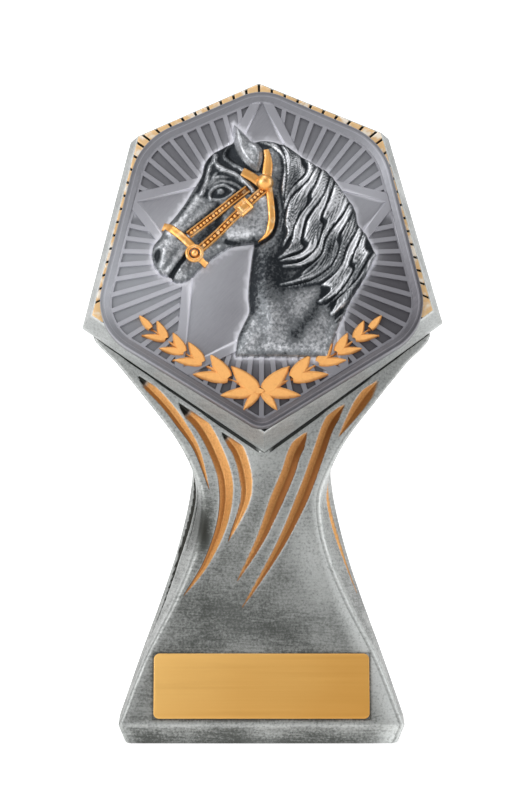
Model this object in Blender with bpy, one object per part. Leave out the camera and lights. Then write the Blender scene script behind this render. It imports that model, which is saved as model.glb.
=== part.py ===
"""Resin trophy with a leaning six-sided head, a horse relief insert and a blank engraving plate.

Metres, +Z up, front towards -Y, origin under the middle of the foot.
"""

import math
from functools import partial

import bmesh
import bpy
import numpy as np
from mathutils import Matrix, Vector
from mathutils.geometry import delaunay_2d_cdt

MM = 0.001

# Overall
TROPHY_HEIGHT = 190.0 * MM
FIT_GAP = 0.3 * MM
CUT_CLEARANCE = 5.0 * MM
CUT_OVERLAP = 0.1 * MM
SIDE_SLASH_STEP = 0.03

# Foot and body
FOOT_WIDTH = 82.6 * MM
FOOT_DEPTH = 60.0 * MM
FOOT_EDGE_HEIGHT = 5.6 * MM
FOOT_UNDERCUT = 1.9 * MM
FOOT_SOLE_ROUND = 1.0 * MM
FRONT_RIDGE_RADIUS = 7.0 * MM
CORNER_RIDGE_RADIUS = 2.2 * MM
BACK_CORNER_RADIUS = 4.0 * MM
BODY_LAYERS = 24

# Head: reach of each edge from the head's centre, and the direction that the edge faces
HEAD_LEAN = math.radians(14.0)
HEAD_ASKEW = math.radians(0.85)
HEAD_SET_FORWARD = 9.0 * MM
HEAD_TOP_REACH = 50.5 * MM
HEAD_SIDE_REACH = 46.3 * MM
HEAD_LOWER_REACH = 45.2 * MM
HEAD_TOP_FACING = math.radians(66.0)
HEAD_SIDE_FACING = math.radians(14.2)
HEAD_LOWER_FACING = math.radians(-54.3)
HEAD_CORNER_FLAT = 0.5 * MM
FRAME_SLOPE_DEPTH = 9.0 * MM
FRAME_EDGE_LAND = 1.2 * MM
FRAME_TOP_SLOPE = 2.0 * MM
FRAME_SIDE_SLOPE = 2.7 * MM
FRAME_LOWER_SLOPE = 2.8 * MM
HEAD_THICKNESS = 18.5 * MM
HEAD_BACK_TAPER = 6.0 * MM

# Gold band cut into blocks round the upper four edges
BLOCK_PITCH = 4.15 * MM
BLOCK_GAP = 0.5 * MM
BLOCK_GAP_DEPTH = 0.55 * MM
BLOCK_FAN_HEIGHT = 9.5 * MM

# Groove between the head's lower edges and the body, and the plain lip under it
SHADOW_GROOVE = 1.35 * MM
SHADOW_GROOVE_DEPTH = 2.8 * MM
SHADOW_GROOVE_START = 2.0 * MM
BODY_LIP = 1.25 * MM

# Relief insert
INSERT_TOP_REACH = 50.5 * MM
INSERT_SHOULDER = (35.4 * MM, 34.2 * MM)
INSERT_HIP = (48.5 * MM, -21.8 * MM)
INSERT_BOTTOM_REACH = 52.4 * MM
INSERT_RADII = (14.0 * MM, 20.0 * MM, 16.0 * MM, 6.0 * MM)
INSERT_RIM_TOP = 3.8 * MM
RIM_LIP = 0.7 * MM
RIM_WIDTH = 2.7 * MM
BORDER_WIDTH = 0.6 * MM
RIB_TOP = 2.6 * MM
POCKET_FLOOR = 2.0 * MM
STAR_BAR_TOP = 2.8 * MM
STAR_FLAT = 2.2 * MM
STAR_BAR_WIDTH = 2.5 * MM
RIB_COUNT = 63
RIB_WIDTH = 1.3 * MM
WALL_DRAFT = 0.2 * MM
STAR_HALF_WIDTH = 37.7 * MM
STAR_HALF_HEIGHT = 44.2 * MM
STAR_CENTRE = 2.2 * MM
STAR_WAIST = 0.55

# Horse, as hundredths of the insert's height
HORSE_EDGE_RISE = 1.5 * MM
HORSE_EDGE_DRAFT = 0.5 * MM
HORSE_DOME = 3.0 * MM
HORSE_DOME_REACH = 4.0 * MM
HORSE_GRAIN = 1.55 * MM
GRAIN_CLEARANCE = 0.6 * MM
MANE_VALLEYS = 15
LOCK_RISE = 1.0 * MM
LOCK_REACH = 1.2 * MM

# Round forms of the horse's head: centre, radius and rise, from the cheek to the rim of the nostril
HORSE_SWELLINGS = (
    ((-5.2, 10.5), 6.6 * MM, 0.9 * MM),
    ((-17.5, 8.0), 5.0 * MM, 0.5 * MM),
    ((-11.2, 17.3), 3.0 * MM, -0.8 * MM),
    ((-11.4, 17.2), 1.5 * MM, 0.8 * MM),
    ((-11.4, 20.2), 2.0 * MM, 0.6 * MM),
    ((-28.9, -1.5), 1.7 * MM, -0.9 * MM),
    ((-26.6, 0.6), 2.0 * MM, 0.6 * MM),
)

# Long forms: route, width and rise of the mouth, the jaw's edge and the ear
HORSE_FOLDS = (
    (((-21.6, -1.7), (-23.3, -3.8), (-25.5, -7.3)), 0.9 * MM, -0.8 * MM),
    (((-1.9, 20.0), (3.4, 15.0), (3.6, 8.0), (0.4, 2.6), (-6.0, 3.0)), 1.3 * MM, -0.7 * MM),
    (((-8.0, 38.5), (-5.4, 33.0), (-3.4, 26.0)), 2.6 * MM, 1.3 * MM),
)
FORELOCK_SECTION = (0.9 * MM, 0.6 * MM)
HALTER_RISE = 0.8 * MM
LEAF_RISE = 1.3 * MM

# Engraving plate
PLATE_WIDTH = 61.0 * MM
PLATE_HEIGHT = 18.6 * MM
PLATE_THICKNESS = 0.8 * MM
PLATE_CORNER = 1.2 * MM
PLATE_RECESS = 0.5 * MM
PLATE_BOTTOM_CLEARANCE = 1.7 * MM
PLATE_BROKEN_EDGE = 0.15 * MM

# Body rows: height as a share of the climb from the foot's edge to the head's side corners, then widths as
# shares of half the foot's width (ridge, side, back) and depths as shares of half its depth (front ridge,
# corner ridge, side, back corner, back), and how far the front ridge drifts sideways
BODY_ROWS = (
    (0.000, 0.978, 1.000, 0.978, 1.000, 0.992, 0.000, 0.980, 1.000, 0.00),
    (0.171, 0.789, 0.837, 0.799, 0.822, 0.815, -0.033, 0.810, 0.830, -0.10),
    (0.306, 0.598, 0.704, 0.634, 0.690, 0.668, -0.070, 0.667, 0.690, -0.33),
    (0.412, 0.477, 0.611, 0.516, 0.607, 0.563, -0.103, 0.567, 0.593, -0.19),
    (0.492, 0.424, 0.554, 0.443, 0.558, 0.502, -0.123, 0.510, 0.543, -0.10),
    (0.571, 0.421, 0.510, 0.400, 0.510, 0.440, -0.133, 0.470, 0.507, -0.06),
    (0.633, 0.486, 0.494, 0.397, 0.472, 0.402, -0.133, 0.443, 0.480, -0.03),
    (0.695, 0.575, 0.553, 0.443, 0.425, 0.365, -0.123, 0.413, 0.453, 0.00),
    (0.810, 0.814, 0.780, 0.630, 0.342, 0.287, -0.107, 0.353, 0.383, 0.00),
    (0.900, 1.018, 0.979, 0.809, 0.270, 0.213, -0.114, 0.306, 0.328, 0.00),
    (0.974, 1.191, 1.150, 0.956, 0.210, 0.153, -0.120, 0.267, 0.283, 0.00),
    (1.050, 1.065, 1.030, 0.920, 0.167, 0.133, -0.033, 0.120, 0.140, 0.00),
)

# Gold slashes on the front: width, then the centreline as (share of half the foot's width, share of the climb)
FRONT_SLASHES = (
    (2.9 * MM, ((-0.969, 0.917), (-0.869, 0.873), (-0.683, 0.804), (-0.554, 0.743),
                 (-0.448, 0.680), (-0.363, 0.581))),
    (4.3 * MM, ((-0.714, 0.848), (-0.581, 0.802), (-0.436, 0.754), (-0.324, 0.684),
                 (-0.249, 0.598), (-0.271, 0.500), (-0.387, 0.395), (-0.538, 0.316))),
    (3.8 * MM, ((-0.395, 0.772), (-0.278, 0.728), (-0.169, 0.684), (-0.111, 0.613),
                 (-0.119, 0.549), (-0.232, 0.451))),
    (4.4 * MM, ((0.414, 0.772), (0.315, 0.726), (0.232, 0.677), (0.184, 0.624),
                 (0.107, 0.558), (-0.010, 0.456), (-0.174, 0.349))),
    (3.9 * MM, ((0.690, 0.839), (0.576, 0.796), (0.475, 0.750), (0.392, 0.668),
                 (0.286, 0.564), (0.116, 0.434), (-0.140, 0.282))),
    (3.7 * MM, ((0.896, 0.899), (0.809, 0.856), (0.719, 0.815), (0.637, 0.771),
                 (0.538, 0.715))),
)

# Slashes on the narrow sides: side, width, then the centreline as (share from corner ridge to side, climb)
SIDE_SLASHES = (
    (1.0, 1.7 * MM, ((0.42, 0.598), (0.58, 0.504), (0.70, 0.420), (0.74, 0.308))),
    (-1.0, 1.9 * MM, ((0.45, 0.642), (0.66, 0.502), (0.76, 0.407), (0.70, 0.310), (0.62, 0.257))),
)
SLASH_DEPTH_SHARE = 0.42
SLASH_OVERCUT = 1.5 * MM
SLASH_TAPER = 0.55
SLASH_STEPS = 14

# Horse's head in hundredths of the insert's height, clockwise from the ear's tip
HORSE_OUTLINE = (
    (-8.0, 38.5), (-5.2, 35.9), (-2.7, 32.8), (2.1, 33.2), (6.6, 31.8), (11.9, 28.2), (19.2, 23.2), (23.1, 17.6),
    (26.2, 12.6), (27.0, 8.5), (29.5, 5.0), (32.1, -0.4), (29.4, -5.8), (27.0, -9.9), (24.6, -13.9), (22.6, -18.8),
    (20.9, -22.9), (18.4, -30.1), (-7.4, -29.8), (-6.8, -24.6), (-3.5, -16.7), (-3.8, -12.5), (-3.4, -6.7),
    (-2.7, -0.7), (-2.1, 2.9), (-8.0, 2.0), (-11.2, 0.3), (-15.2, -2.6), (-17.7, -5.2), (-20.0, -7.8),
    (-22.3, -8.6), (-24.7, -8.0), (-26.4, -6.7), (-28.3, -6.0), (-30.0, -3.8), (-30.8, -0.5), (-30.4, 2.3),
    (-28.4, 5.0), (-27.3, 7.5), (-24.5, 10.8), (-19.3, 18.9), (-16.9, 23.2), (-16.2, 26.5), (-14.0, 29.4),
    (-10.6, 31.5), (-8.1, 32.7),
)
SHARP_OUTLINE_POINTS = (0, 11, 17, 18, 24)

# Guides that the mane's locks follow, from the crest to the tips
MANE_GUIDES = (
    ((4.1, 30.0), (5.7, 25.5), (5.5, 20.5), (5.4, 15.2), (6.3, 10.8), (5.7, 5.8), (4.9, 1.8)),
    ((10.8, 27.6), (9.7, 22.6), (8.0, 17.6), (6.8, 12.9), (6.8, 8.2), (6.0, 3.5), (3.7, -1.2)),
    ((17.0, 22.9), (14.4, 18.1), (11.3, 13.4), (8.8, 8.8), (7.9, 4.1), (6.3, 0.3), (3.2, -2.3)),
    ((21.4, 18.1), (18.9, 13.4), (15.5, 8.8), (12.4, 4.1), (10.7, 0.0), (8.2, -2.9), (4.6, -4.7)),
    ((24.8, 13.4), (21.9, 8.8), (18.8, 4.1), (16.3, -0.6), (14.6, -4.7), (11.0, -8.1), (4.9, -11.0)),
    ((26.7, 8.8), (23.9, 4.1), (21.3, -0.6), (19.6, -5.2), (17.4, -9.3), (13.2, -11.6), (8.5, -13.3)),
    ((29.5, 4.1), (26.6, -0.6), (24.4, -5.2), (22.1, -9.3), (19.3, -12.8), (17.1, -15.7), (15.7, -17.7)),
    ((31.7, -0.6), (29.1, -4.7), (26.9, -8.4), (24.6, -12.2), (22.4, -15.7), (20.7, -18.8), (19.3, -21.7)),
)
FORELOCKS = (
    ((-9.8, 30.0), (-10.0, 27.6), (-7.2, 24.9), (-4.1, 21.4), (-2.1, 17.3)),
    ((-12.9, 28.2), (-12.9, 25.8), (-10.8, 24.0), (-7.2, 22.3), (-4.4, 19.9), (-2.4, 17.6)),
    ((-13.2, 28.2), (-14.8, 24.3), (-15.6, 20.2), (-16.7, 17.3)),
)

# Halter straps: width in hundredths, then the run
HALTER_STRAPS = (
    (2.2, ((-27.2, 7.6), (-19.8, 1.5))),
    (1.9, ((-20.8, 4.4), (-4.1, 17.7))),
    (2.2, ((-16.9, 1.5), (0.5, 17.5))),
    (2.3, ((-4.4, 22.8), (0.1, 19.6))),
    (2.3, ((1.7, 29.4), (1.5, 21.7))),
    (2.2, ((2.0, 17.5), (2.4, 11.4), (2.7, 7.6), (2.0, 5.0), (-0.3, 2.6))),
)
HALTER_RING = (-18.7, -0.5, 2.7)
HALTER_ROSETTE = (1.1, 20.0, 2.1)
HALTER_BUCKLE = (-5.2, 12.1, 4.0, 3.4)

# Laurel: (upper tip, lower tip, base) of each cluster on the left, mirrored to the right
LAUREL_MIDLINE = -0.1
LAUREL_CLUSTERS = (
    ((-8.5, -32.2), (-12.0, -40.9), (-1.5, -39.5)),
    ((-14.4, -28.8), (-19.5, -34.6), (-9.3, -35.9)),
    ((-20.4, -25.3), (-24.9, -30.6), (-16.5, -31.5)),
    ((-24.7, -22.6), (-28.9, -27.2), (-21.6, -28.5)),
    ((-29.2, -19.1), (-33.4, -23.5), (-26.7, -24.6)),
)
LAUREL_END_LEAF = ((-34.2, -17.6), (-30.8, -21.6))
LAUREL_TAIL = ((-5.2, -45.2), (-0.8, -39.4))
LEAF_WIDTH_SHARE = 0.36
LEAF_STATIONS = (0.0, 0.25, 0.55, 0.8, 1.0)


def clear_scene():
    """Remove every object, so that the file starts empty."""
    for old in list(bpy.data.objects):
        bpy.data.objects.remove(old, do_unlink=True)


def material(name, colour, roughness, metallic):
    """A Principled material of the part's colour."""
    finish = bpy.data.materials.new(name)
    finish.use_nodes = True
    shader = finish.node_tree.nodes["Principled BSDF"]
    shader.inputs["Base Color"].default_value = (*colour, 1.0)
    shader.inputs["Roughness"].default_value = roughness
    shader.inputs["Metallic"].default_value = metallic
    return finish


def mesh_object(name, vertices, faces, finish=None):
    """A mesh object with outward faces."""
    mesh = bpy.data.meshes.new(name)
    mesh.from_pydata([tuple(v) for v in vertices], [], faces)
    work = bmesh.new()
    work.from_mesh(mesh)
    bmesh.ops.recalc_face_normals(work, faces=work.faces)
    work.to_mesh(mesh)
    work.free()
    made = bpy.data.objects.new(name, mesh)
    bpy.context.scene.collection.objects.link(made)
    if finish:
        mesh.materials.append(finish)
    return made


def make_cutter(name, vertices, faces):
    """A hidden wire object for a Boolean."""
    cutter = mesh_object(name, vertices, faces)
    cutter.hide_render = True
    cutter.display_type = "WIRE"
    return cutter


def boolean(target, tool, operation):
    """Add an exact Boolean to the target."""
    cut = target.modifiers.new(tool.name, "BOOLEAN")
    cut.object = tool
    cut.operation = operation
    cut.solver = "EXACT"


def loft(rings):
    """Vertices and faces of a closed solid through rings that all have the same count."""
    count = len(rings[0])
    vertices = [point for ring in rings for point in ring]
    faces = [tuple(range(count)), tuple(range((len(rings) - 1) * count, len(rings) * count))]
    for row in range(len(rings) - 1):
        for i in range(count):
            j = (i + 1) % count
            faces.append((row * count + i, row * count + j, (row + 1) * count + j, (row + 1) * count + i))
    return vertices, faces


def smooth_curve(points, steps, closed=False, sharp=()):
    """Points along a Catmull-Rom curve through the given ones, which may have sharp corners."""
    points = np.asarray(points, float)
    count = len(points)
    spans = count if closed else count - 1
    found = []
    for i in range(spans):
        p1, p2 = points[i], points[(i + 1) % count]
        p0 = points[i - 1] if (closed or i) and i not in sharp else p1
        after = (i + 2) % count if closed else min(i + 2, count - 1)
        p3 = p2 if (i + 1) % count in sharp else points[after]
        for t in np.arange(steps) / steps:
            found.append(
                0.5 * (2 * p1 + (p2 - p0) * t + (2 * p0 - 5 * p1 + 4 * p2 - p3) * t**2
                       + (3 * p1 - p0 - 3 * p2 + p3) * t**3)
            )
    if not closed:
        found.append(points[-1])
    return np.array(found)


def rounded(before, corner, after, radius, steps):
    """Points of a soft corner between two edges."""
    corner = np.asarray(corner, float)
    back = np.asarray(before, float) - corner
    ahead = np.asarray(after, float) - corner
    reach_back = min(radius, 0.4 * np.linalg.norm(back))
    reach_ahead = min(radius, 0.4 * np.linalg.norm(ahead))
    start = corner + back / np.linalg.norm(back) * reach_back
    end = corner + ahead / np.linalg.norm(ahead) * reach_ahead
    return [(1 - t) ** 2 * start + 2 * t * (1 - t) * corner + t**2 * end for t in np.linspace(0, 1, steps)]


def body_row(height):
    """The body's row values at a height, read from a smooth curve through BODY_ROWS."""
    rows = np.array(BODY_ROWS)
    climb = (height - FOOT_EDGE_HEIGHT) / (head_corner_height() - FOOT_EDGE_HEIGHT)
    climb = min(max(climb, rows[0, 0]), rows[-1, 0])
    i = min(int(np.searchsorted(rows[:, 0], climb, side="right")) - 1, len(rows) - 2)
    slopes = np.gradient(rows[:, 1:], rows[:, 0], axis=0)
    span = rows[i + 1, 0] - rows[i, 0]
    t = (climb - rows[i, 0]) / span
    return (
        (1 + 2 * t) * (1 - t) ** 2 * rows[i, 1:] + t * (1 - t) ** 2 * span * slopes[i]
        + t**2 * (3 - 2 * t) * rows[i + 1, 1:] - t**2 * (1 - t) * span * slopes[i + 1]
    )


def body_corners(height):
    """The eight corner points of the body at a height, round from the front ridge."""
    ridge_x, side_x, back_x, front_y, ridge_y, side_y, corner_y, rear_y, drift = body_row(height)
    half_width, half_depth = FOOT_WIDTH / 2, FOOT_DEPTH / 2
    right = [
        (ridge_x * half_width, -ridge_y * half_depth),
        (side_x * half_width, -side_y * half_depth),
        (back_x * half_width, corner_y * half_depth),
    ]
    left = [(-x, y) for x, y in reversed(right)]
    front = (drift * ridge_x * half_width, -front_y * half_depth)
    return [front, *right, (0.0, rear_y * half_depth), *left]


def body_ring(height, inset=0.0):
    """One soft-cornered section of the body as 3-D points."""
    corners = body_corners(height)
    radii = (FRONT_RIDGE_RADIUS, CORNER_RIDGE_RADIUS, CORNER_RIDGE_RADIUS, BACK_CORNER_RADIUS, None,
             BACK_CORNER_RADIUS, CORNER_RIDGE_RADIUS, CORNER_RIDGE_RADIUS)
    ring = []
    for i, (corner, radius) in enumerate(zip(corners, radii)):
        if radius is None:
            ring.append(np.array(corner))
        else:
            ring += rounded(corners[i - 1], corner, corners[(i + 1) % len(corners)], radius, 3)
    shrink = np.array([1 - 2 * inset / FOOT_WIDTH, 1 - 2 * inset / FOOT_DEPTH])
    return [Vector((*(point * shrink), height)) for point in ring]


def body_layers():
    """Heights of the body's sections, from the foot's edge into the head."""
    climb = head_corner_height() - FOOT_EDGE_HEIGHT
    top = FOOT_EDGE_HEIGHT + BODY_ROWS[-1][0] * climb
    return np.linspace(FOOT_EDGE_HEIGHT, top, BODY_LAYERS)


def build_body():
    """The waisted body and its undercut foot."""
    rings = [
        [Vector((p.x, p.y, 0.0)) for p in body_ring(FOOT_EDGE_HEIGHT, FOOT_UNDERCUT + FOOT_SOLE_ROUND)],
        [Vector((p.x, p.y, FOOT_SOLE_ROUND)) for p in body_ring(FOOT_EDGE_HEIGHT, FOOT_UNDERCUT)],
    ]
    rings += [body_ring(height) for height in body_layers()]
    return mesh_object("stand", *loft(rings))


def front_point(x, height):
    """The point of the body's front at a place across and up."""
    front, right, *_, left = body_corners(height)
    near = right if x > front[0] else left
    share = (x - front[0]) / (near[0] - front[0])
    return Vector((x, front[1] + share * (near[1] - front[1]), height))


def side_point(side, share, height):
    """The point of the body's narrow side, as a share from its corner ridge to its widest line."""
    corners = body_corners(height)
    ridge, widest = corners[1], corners[2]
    x = ridge[0] + share * (widest[0] - ridge[0])
    return Vector((side * x, ridge[1] + share * (widest[1] - ridge[1]), height))


def surface_normal(place, a, b, step_a, step_b):
    """Normal of a surface given as a function of two numbers, turned away from the body's middle."""
    along = place(a + step_a, b) - place(a - step_a, b)
    up = place(a, b + step_b) - place(a, b - step_b)
    normal = along.cross(up).normalized()
    outward = place(a, b)
    return normal if normal.x * outward.x + normal.y * outward.y > 0 else -normal


def above_lip(point):
    """How far a point lies above the edge of the plain lip that follows the head's lower edges."""
    u, v = head_across_and_up(point)
    facing = np.array([math.cos(HEAD_LOWER_FACING), math.sin(HEAD_LOWER_FACING)])
    return HEAD_LOWER_REACH + SHADOW_GROOVE + BODY_LIP - (abs(u) * facing[0] + v * facing[1])


def slide_to_lip(point, along):
    """A point moved along a direction to the edge of the plain lip."""
    step = CUT_OVERLAP
    return point - along * (above_lip(point) * step / (above_lip(point + along * step) - above_lip(point)))


def slash_cutter(name, place, route, width, step_a, from_lip):
    """A swept V whose width fades to a point at its lower end, and that may start flat at the lip."""
    route = smooth_curve(route, SLASH_STEPS // 2)
    lengths = np.r_[0, np.cumsum(np.linalg.norm(np.diff(route, axis=0), axis=1))]
    even = np.linspace(0, lengths[-1], SLASH_STEPS)
    route = np.stack([np.interp(even, lengths, route[:, i]) for i in range(2)], axis=1)
    spots = [place(a, b) for a, b in route]
    rings = []
    for i, (a, b) in enumerate(route):
        share = i / (len(route) - 1)
        local = width * max(0.03, min(1.0, (1 - share) / SLASH_TAPER)) ** 0.8
        normal = surface_normal(place, a, b, step_a, CUT_OVERLAP)
        along = (spots[min(i + 1, len(spots) - 1)] - spots[max(i - 1, 0)]).normalized()
        across = along.cross(normal).normalized()
        depth = SLASH_DEPTH_SHARE * local
        half = local / 2 + SLASH_OVERCUT / (2 * SLASH_DEPTH_SHARE)
        lifted = spots[i] + normal * SLASH_OVERCUT
        ring = [spots[i] - normal * depth, lifted + across * half, lifted - across * half]
        if not from_lip or max(above_lip(point) for point in ring) < -CUT_OVERLAP:
            if from_lip and not rings:
                rings.append([slide_to_lip(point, along) for point in ring])
            rings.append(ring)
    return make_cutter(name, *loft(rings))


def head_place(u, v, w, askew=HEAD_ASKEW):
    """World point of a place on the leaning head: across, up the head, and out from its ledge."""
    across = u * math.cos(askew) - v * math.sin(askew)
    up = u * math.sin(askew) + v * math.cos(askew)
    return Vector((
        across,
        -HEAD_SET_FORWARD + up * math.sin(HEAD_LEAN) - w * math.cos(HEAD_LEAN),
        head_height() + up * math.cos(HEAD_LEAN) + w * math.sin(HEAD_LEAN),
    ))


def head_across_and_up(point):
    """A world point as the head sees it: across, and up the head."""
    up = (point.y + HEAD_SET_FORWARD) * math.sin(HEAD_LEAN) + (point.z - head_height()) * math.cos(HEAD_LEAN)
    u = point.x * math.cos(HEAD_ASKEW) + up * math.sin(HEAD_ASKEW)
    return u, up * math.cos(HEAD_ASKEW) - point.x * math.sin(HEAD_ASKEW)


def head_height():
    """Height of the head's centre, which puts the top of its frame at the trophy's height."""
    apex = HEAD_TOP_REACH / math.sin(HEAD_TOP_FACING)
    rise = apex * math.cos(HEAD_ASKEW) * math.cos(HEAD_LEAN)
    return TROPHY_HEIGHT - rise + FRAME_SLOPE_DEPTH * math.sin(HEAD_LEAN)


def edge_meeting(facing_a, reach_a, facing_b, reach_b):
    """Corner where two straight edges of the head meet."""
    normals = np.array([[math.cos(facing_a), math.sin(facing_a)], [math.cos(facing_b), math.sin(facing_b)]])
    return np.linalg.solve(normals, [reach_a, reach_b])


def head_corners(top, side, lower):
    """The head's six corners, clockwise from the top, with each edge drawn in by its own amount."""
    top_reach, side_reach = HEAD_TOP_REACH - top, HEAD_SIDE_REACH - side
    lower_reach = HEAD_LOWER_REACH - lower
    shoulder = edge_meeting(HEAD_TOP_FACING, top_reach, HEAD_SIDE_FACING, side_reach)
    hip = edge_meeting(HEAD_SIDE_FACING, side_reach, HEAD_LOWER_FACING, lower_reach)
    apex = (0.0, top_reach / math.sin(HEAD_TOP_FACING))
    tip = (0.0, lower_reach / math.sin(HEAD_LOWER_FACING))
    return [apex, tuple(shoulder), tuple(hip), tip, (-hip[0], hip[1]), (-shoulder[0], shoulder[1])]


def head_corner_height():
    """Height of the head's side corners, where the body's ridges end."""
    hip = head_corners(0, 0, 0)[2]
    rise = hip[1] * math.cos(HEAD_LEAN) - FRAME_SLOPE_DEPTH * math.sin(HEAD_LEAN)
    return head_height() + rise


def head_ring(depth, top, side, lower):
    """The head's outline at a depth, its corners cut by a small flat."""
    corners = head_corners(top, side, lower)
    ring = []
    for i, corner in enumerate(corners):
        following = corners[(i + 1) % len(corners)]
        for u, v in rounded(corners[i - 1], corner, following, HEAD_CORNER_FLAT, 2):
            ring.append(head_place(u, v, depth))
    return ring


def build_head():
    """The six-sided head: seat and ledge in front, sloped frame, tapered back."""
    back = -HEAD_THICKNESS
    edge = -FRAME_SLOPE_DEPTH
    taper = HEAD_BACK_TAPER
    rings = [
        head_ring(back, taper, taper, taper),
        head_ring(edge - FRAME_EDGE_LAND, 0, 0, 0),
        head_ring(edge, 0, 0, 0),
        head_ring(0.0, FRAME_TOP_SLOPE, FRAME_SIDE_SLOPE, FRAME_LOWER_SLOPE),
    ]
    return make_cutter("head_form", *loft(rings))


def shadow_groove_cutter(side):
    """A straight channel that parts one lower edge of the head from the body, short of the bottom tip."""
    *_, hip, tip = head_corners(0, 0, 0)[:4]
    hip, tip = np.array(hip), np.array(tip)
    along = (hip - tip) / np.linalg.norm(hip - tip)
    out = np.array([math.cos(HEAD_LOWER_FACING), math.sin(HEAD_LOWER_FACING)])
    rings = []
    for spot in (tip + along * SHADOW_GROOVE_START, hip + along * CUT_CLEARANCE):
        ring = []
        for reach, depth in ((0, -1), (1, -1), (1, 0), (0, 0)):
            u, v = spot + out * (reach * SHADOW_GROOVE - (1 - reach) * CUT_OVERLAP)
            w = -FRAME_SLOPE_DEPTH - SHADOW_GROOVE_DEPTH if depth else CUT_CLEARANCE
            ring.append(head_place(side * u, v, w))
        rings.append(ring)
    return make_cutter("shadow_groove", *loft(rings))


def block_gap_cutter():
    """The narrow cuts that part the gold band into blocks round the upper four edges."""
    corners = head_corners(FRAME_TOP_SLOPE, FRAME_SIDE_SLOPE, FRAME_LOWER_SLOPE)
    apex, shoulder, hip = (np.array(corner) for corner in corners[:3])
    fan = np.array([0.0, BLOCK_FAN_HEIGHT])
    spots = [apex]
    for start, end in ((apex, shoulder), (shoulder, hip)):
        length = np.linalg.norm(end - start)
        count = int(length / BLOCK_PITCH)
        for i in range(1, count + 1):
            spot = start + (end - start) * (i * BLOCK_PITCH / length)
            spots += [spot, spot * (-1, 1)]
    vertices, faces = [], []
    box = ((0, 3, 2, 1), (4, 5, 6, 7), (0, 1, 5, 4), (1, 2, 6, 5), (2, 3, 7, 6), (3, 0, 4, 7))
    for spot in spots:
        out = (spot - fan) / np.linalg.norm(spot - fan)
        across = np.array([-out[1], out[0]]) * BLOCK_GAP / 2
        first = len(vertices)
        for depth in (-BLOCK_GAP_DEPTH, CUT_CLEARANCE):
            for along, side in ((-1.6, -1), (1, -1), (1, 1), (-1.6, 1)):
                u, v = spot + out * along * CUT_CLEARANCE + across * side
                vertices.append(head_place(u, v, depth))
        faces += [tuple(first + i for i in face) for face in box]
    return make_cutter("block_gaps", vertices, faces)


def plate_frame():
    """Matrix of the engraving plate's seat: X across, Y up the slope, Z out of the foot's front."""
    low = front_point(0.0, FOOT_EDGE_HEIGHT)
    high = front_point(0.0, FOOT_EDGE_HEIGHT + PLATE_HEIGHT + PLATE_BOTTOM_CLEARANCE)
    up = (high - low).normalized()
    across = Vector((1, 0, 0))
    out = across.cross(up)
    middle = low + up * (PLATE_BOTTOM_CLEARANCE + PLATE_HEIGHT / 2)
    turn = Matrix((across, up, out)).transposed().to_4x4()
    return Matrix.Translation(middle) @ turn


def plate_ring(width, height, radius, depth):
    """A rounded rectangle on the plate's seat."""
    corners = [(width / 2, -height / 2), (width / 2, height / 2), (-width / 2, height / 2), (-width / 2, -height / 2)]
    ring = []
    for i, corner in enumerate(corners):
        ring += rounded(corners[i - 1], corner, corners[(i + 1) % 4], radius * 1.4, 5)
    frame = plate_frame()
    return [frame @ Vector((p[0], p[1], depth)) for p in ring]


def build_plate(finish):
    """The thin engraving plate, with a fine broken edge."""
    back = FIT_GAP - PLATE_RECESS
    front = back + PLATE_THICKNESS
    edge = PLATE_BROKEN_EDGE
    rings = [
        plate_ring(PLATE_WIDTH, PLATE_HEIGHT, PLATE_CORNER, back),
        plate_ring(PLATE_WIDTH, PLATE_HEIGHT, PLATE_CORNER, front - edge),
        plate_ring(PLATE_WIDTH - 2 * edge, PLATE_HEIGHT - 2 * edge, PLATE_CORNER, front),
    ]
    return mesh_object("engraving_plate", *loft(rings), finish)


def plate_recess_cutter():
    """The shallow recess that the engraving plate lies in."""
    width, height = PLATE_WIDTH + 2 * FIT_GAP, PLATE_HEIGHT + 2 * FIT_GAP
    depths = (-PLATE_RECESS, CUT_CLEARANCE)
    rings = [plate_ring(width, height, PLATE_CORNER + FIT_GAP, depth) for depth in depths]
    return make_cutter("plate_recess", *loft(rings))


def build_stand(finish):
    """The one-piece casting: foot, body, head, grooves, slashes and blocked band."""
    stand = build_body()
    stand.data.materials.append(finish)
    boolean(stand, build_head(), "UNION")
    for side in (-1, 1):
        boolean(stand, shadow_groove_cutter(side), "DIFFERENCE")
    climb = head_corner_height() - FOOT_EDGE_HEIGHT
    for i, (width, route) in enumerate(FRONT_SLASHES):
        route = np.array(route) * (FOOT_WIDTH / 2, climb) + (0, FOOT_EDGE_HEIGHT)
        cutter = slash_cutter(f"front_slash_{i}", front_point, route, width, CUT_OVERLAP, True)
        boolean(stand, cutter, "DIFFERENCE")
    for i, (side, width, route) in enumerate(SIDE_SLASHES):
        route = np.array(route) * (1, climb) + (0, FOOT_EDGE_HEIGHT)
        cutter = slash_cutter(f"side_slash_{i}", partial(side_point, side), route, width, SIDE_SLASH_STEP, False)
        boolean(stand, cutter, "DIFFERENCE")
    boolean(stand, block_gap_cutter(), "DIFFERENCE")
    boolean(stand, plate_recess_cutter(), "DIFFERENCE")
    return stand


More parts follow.
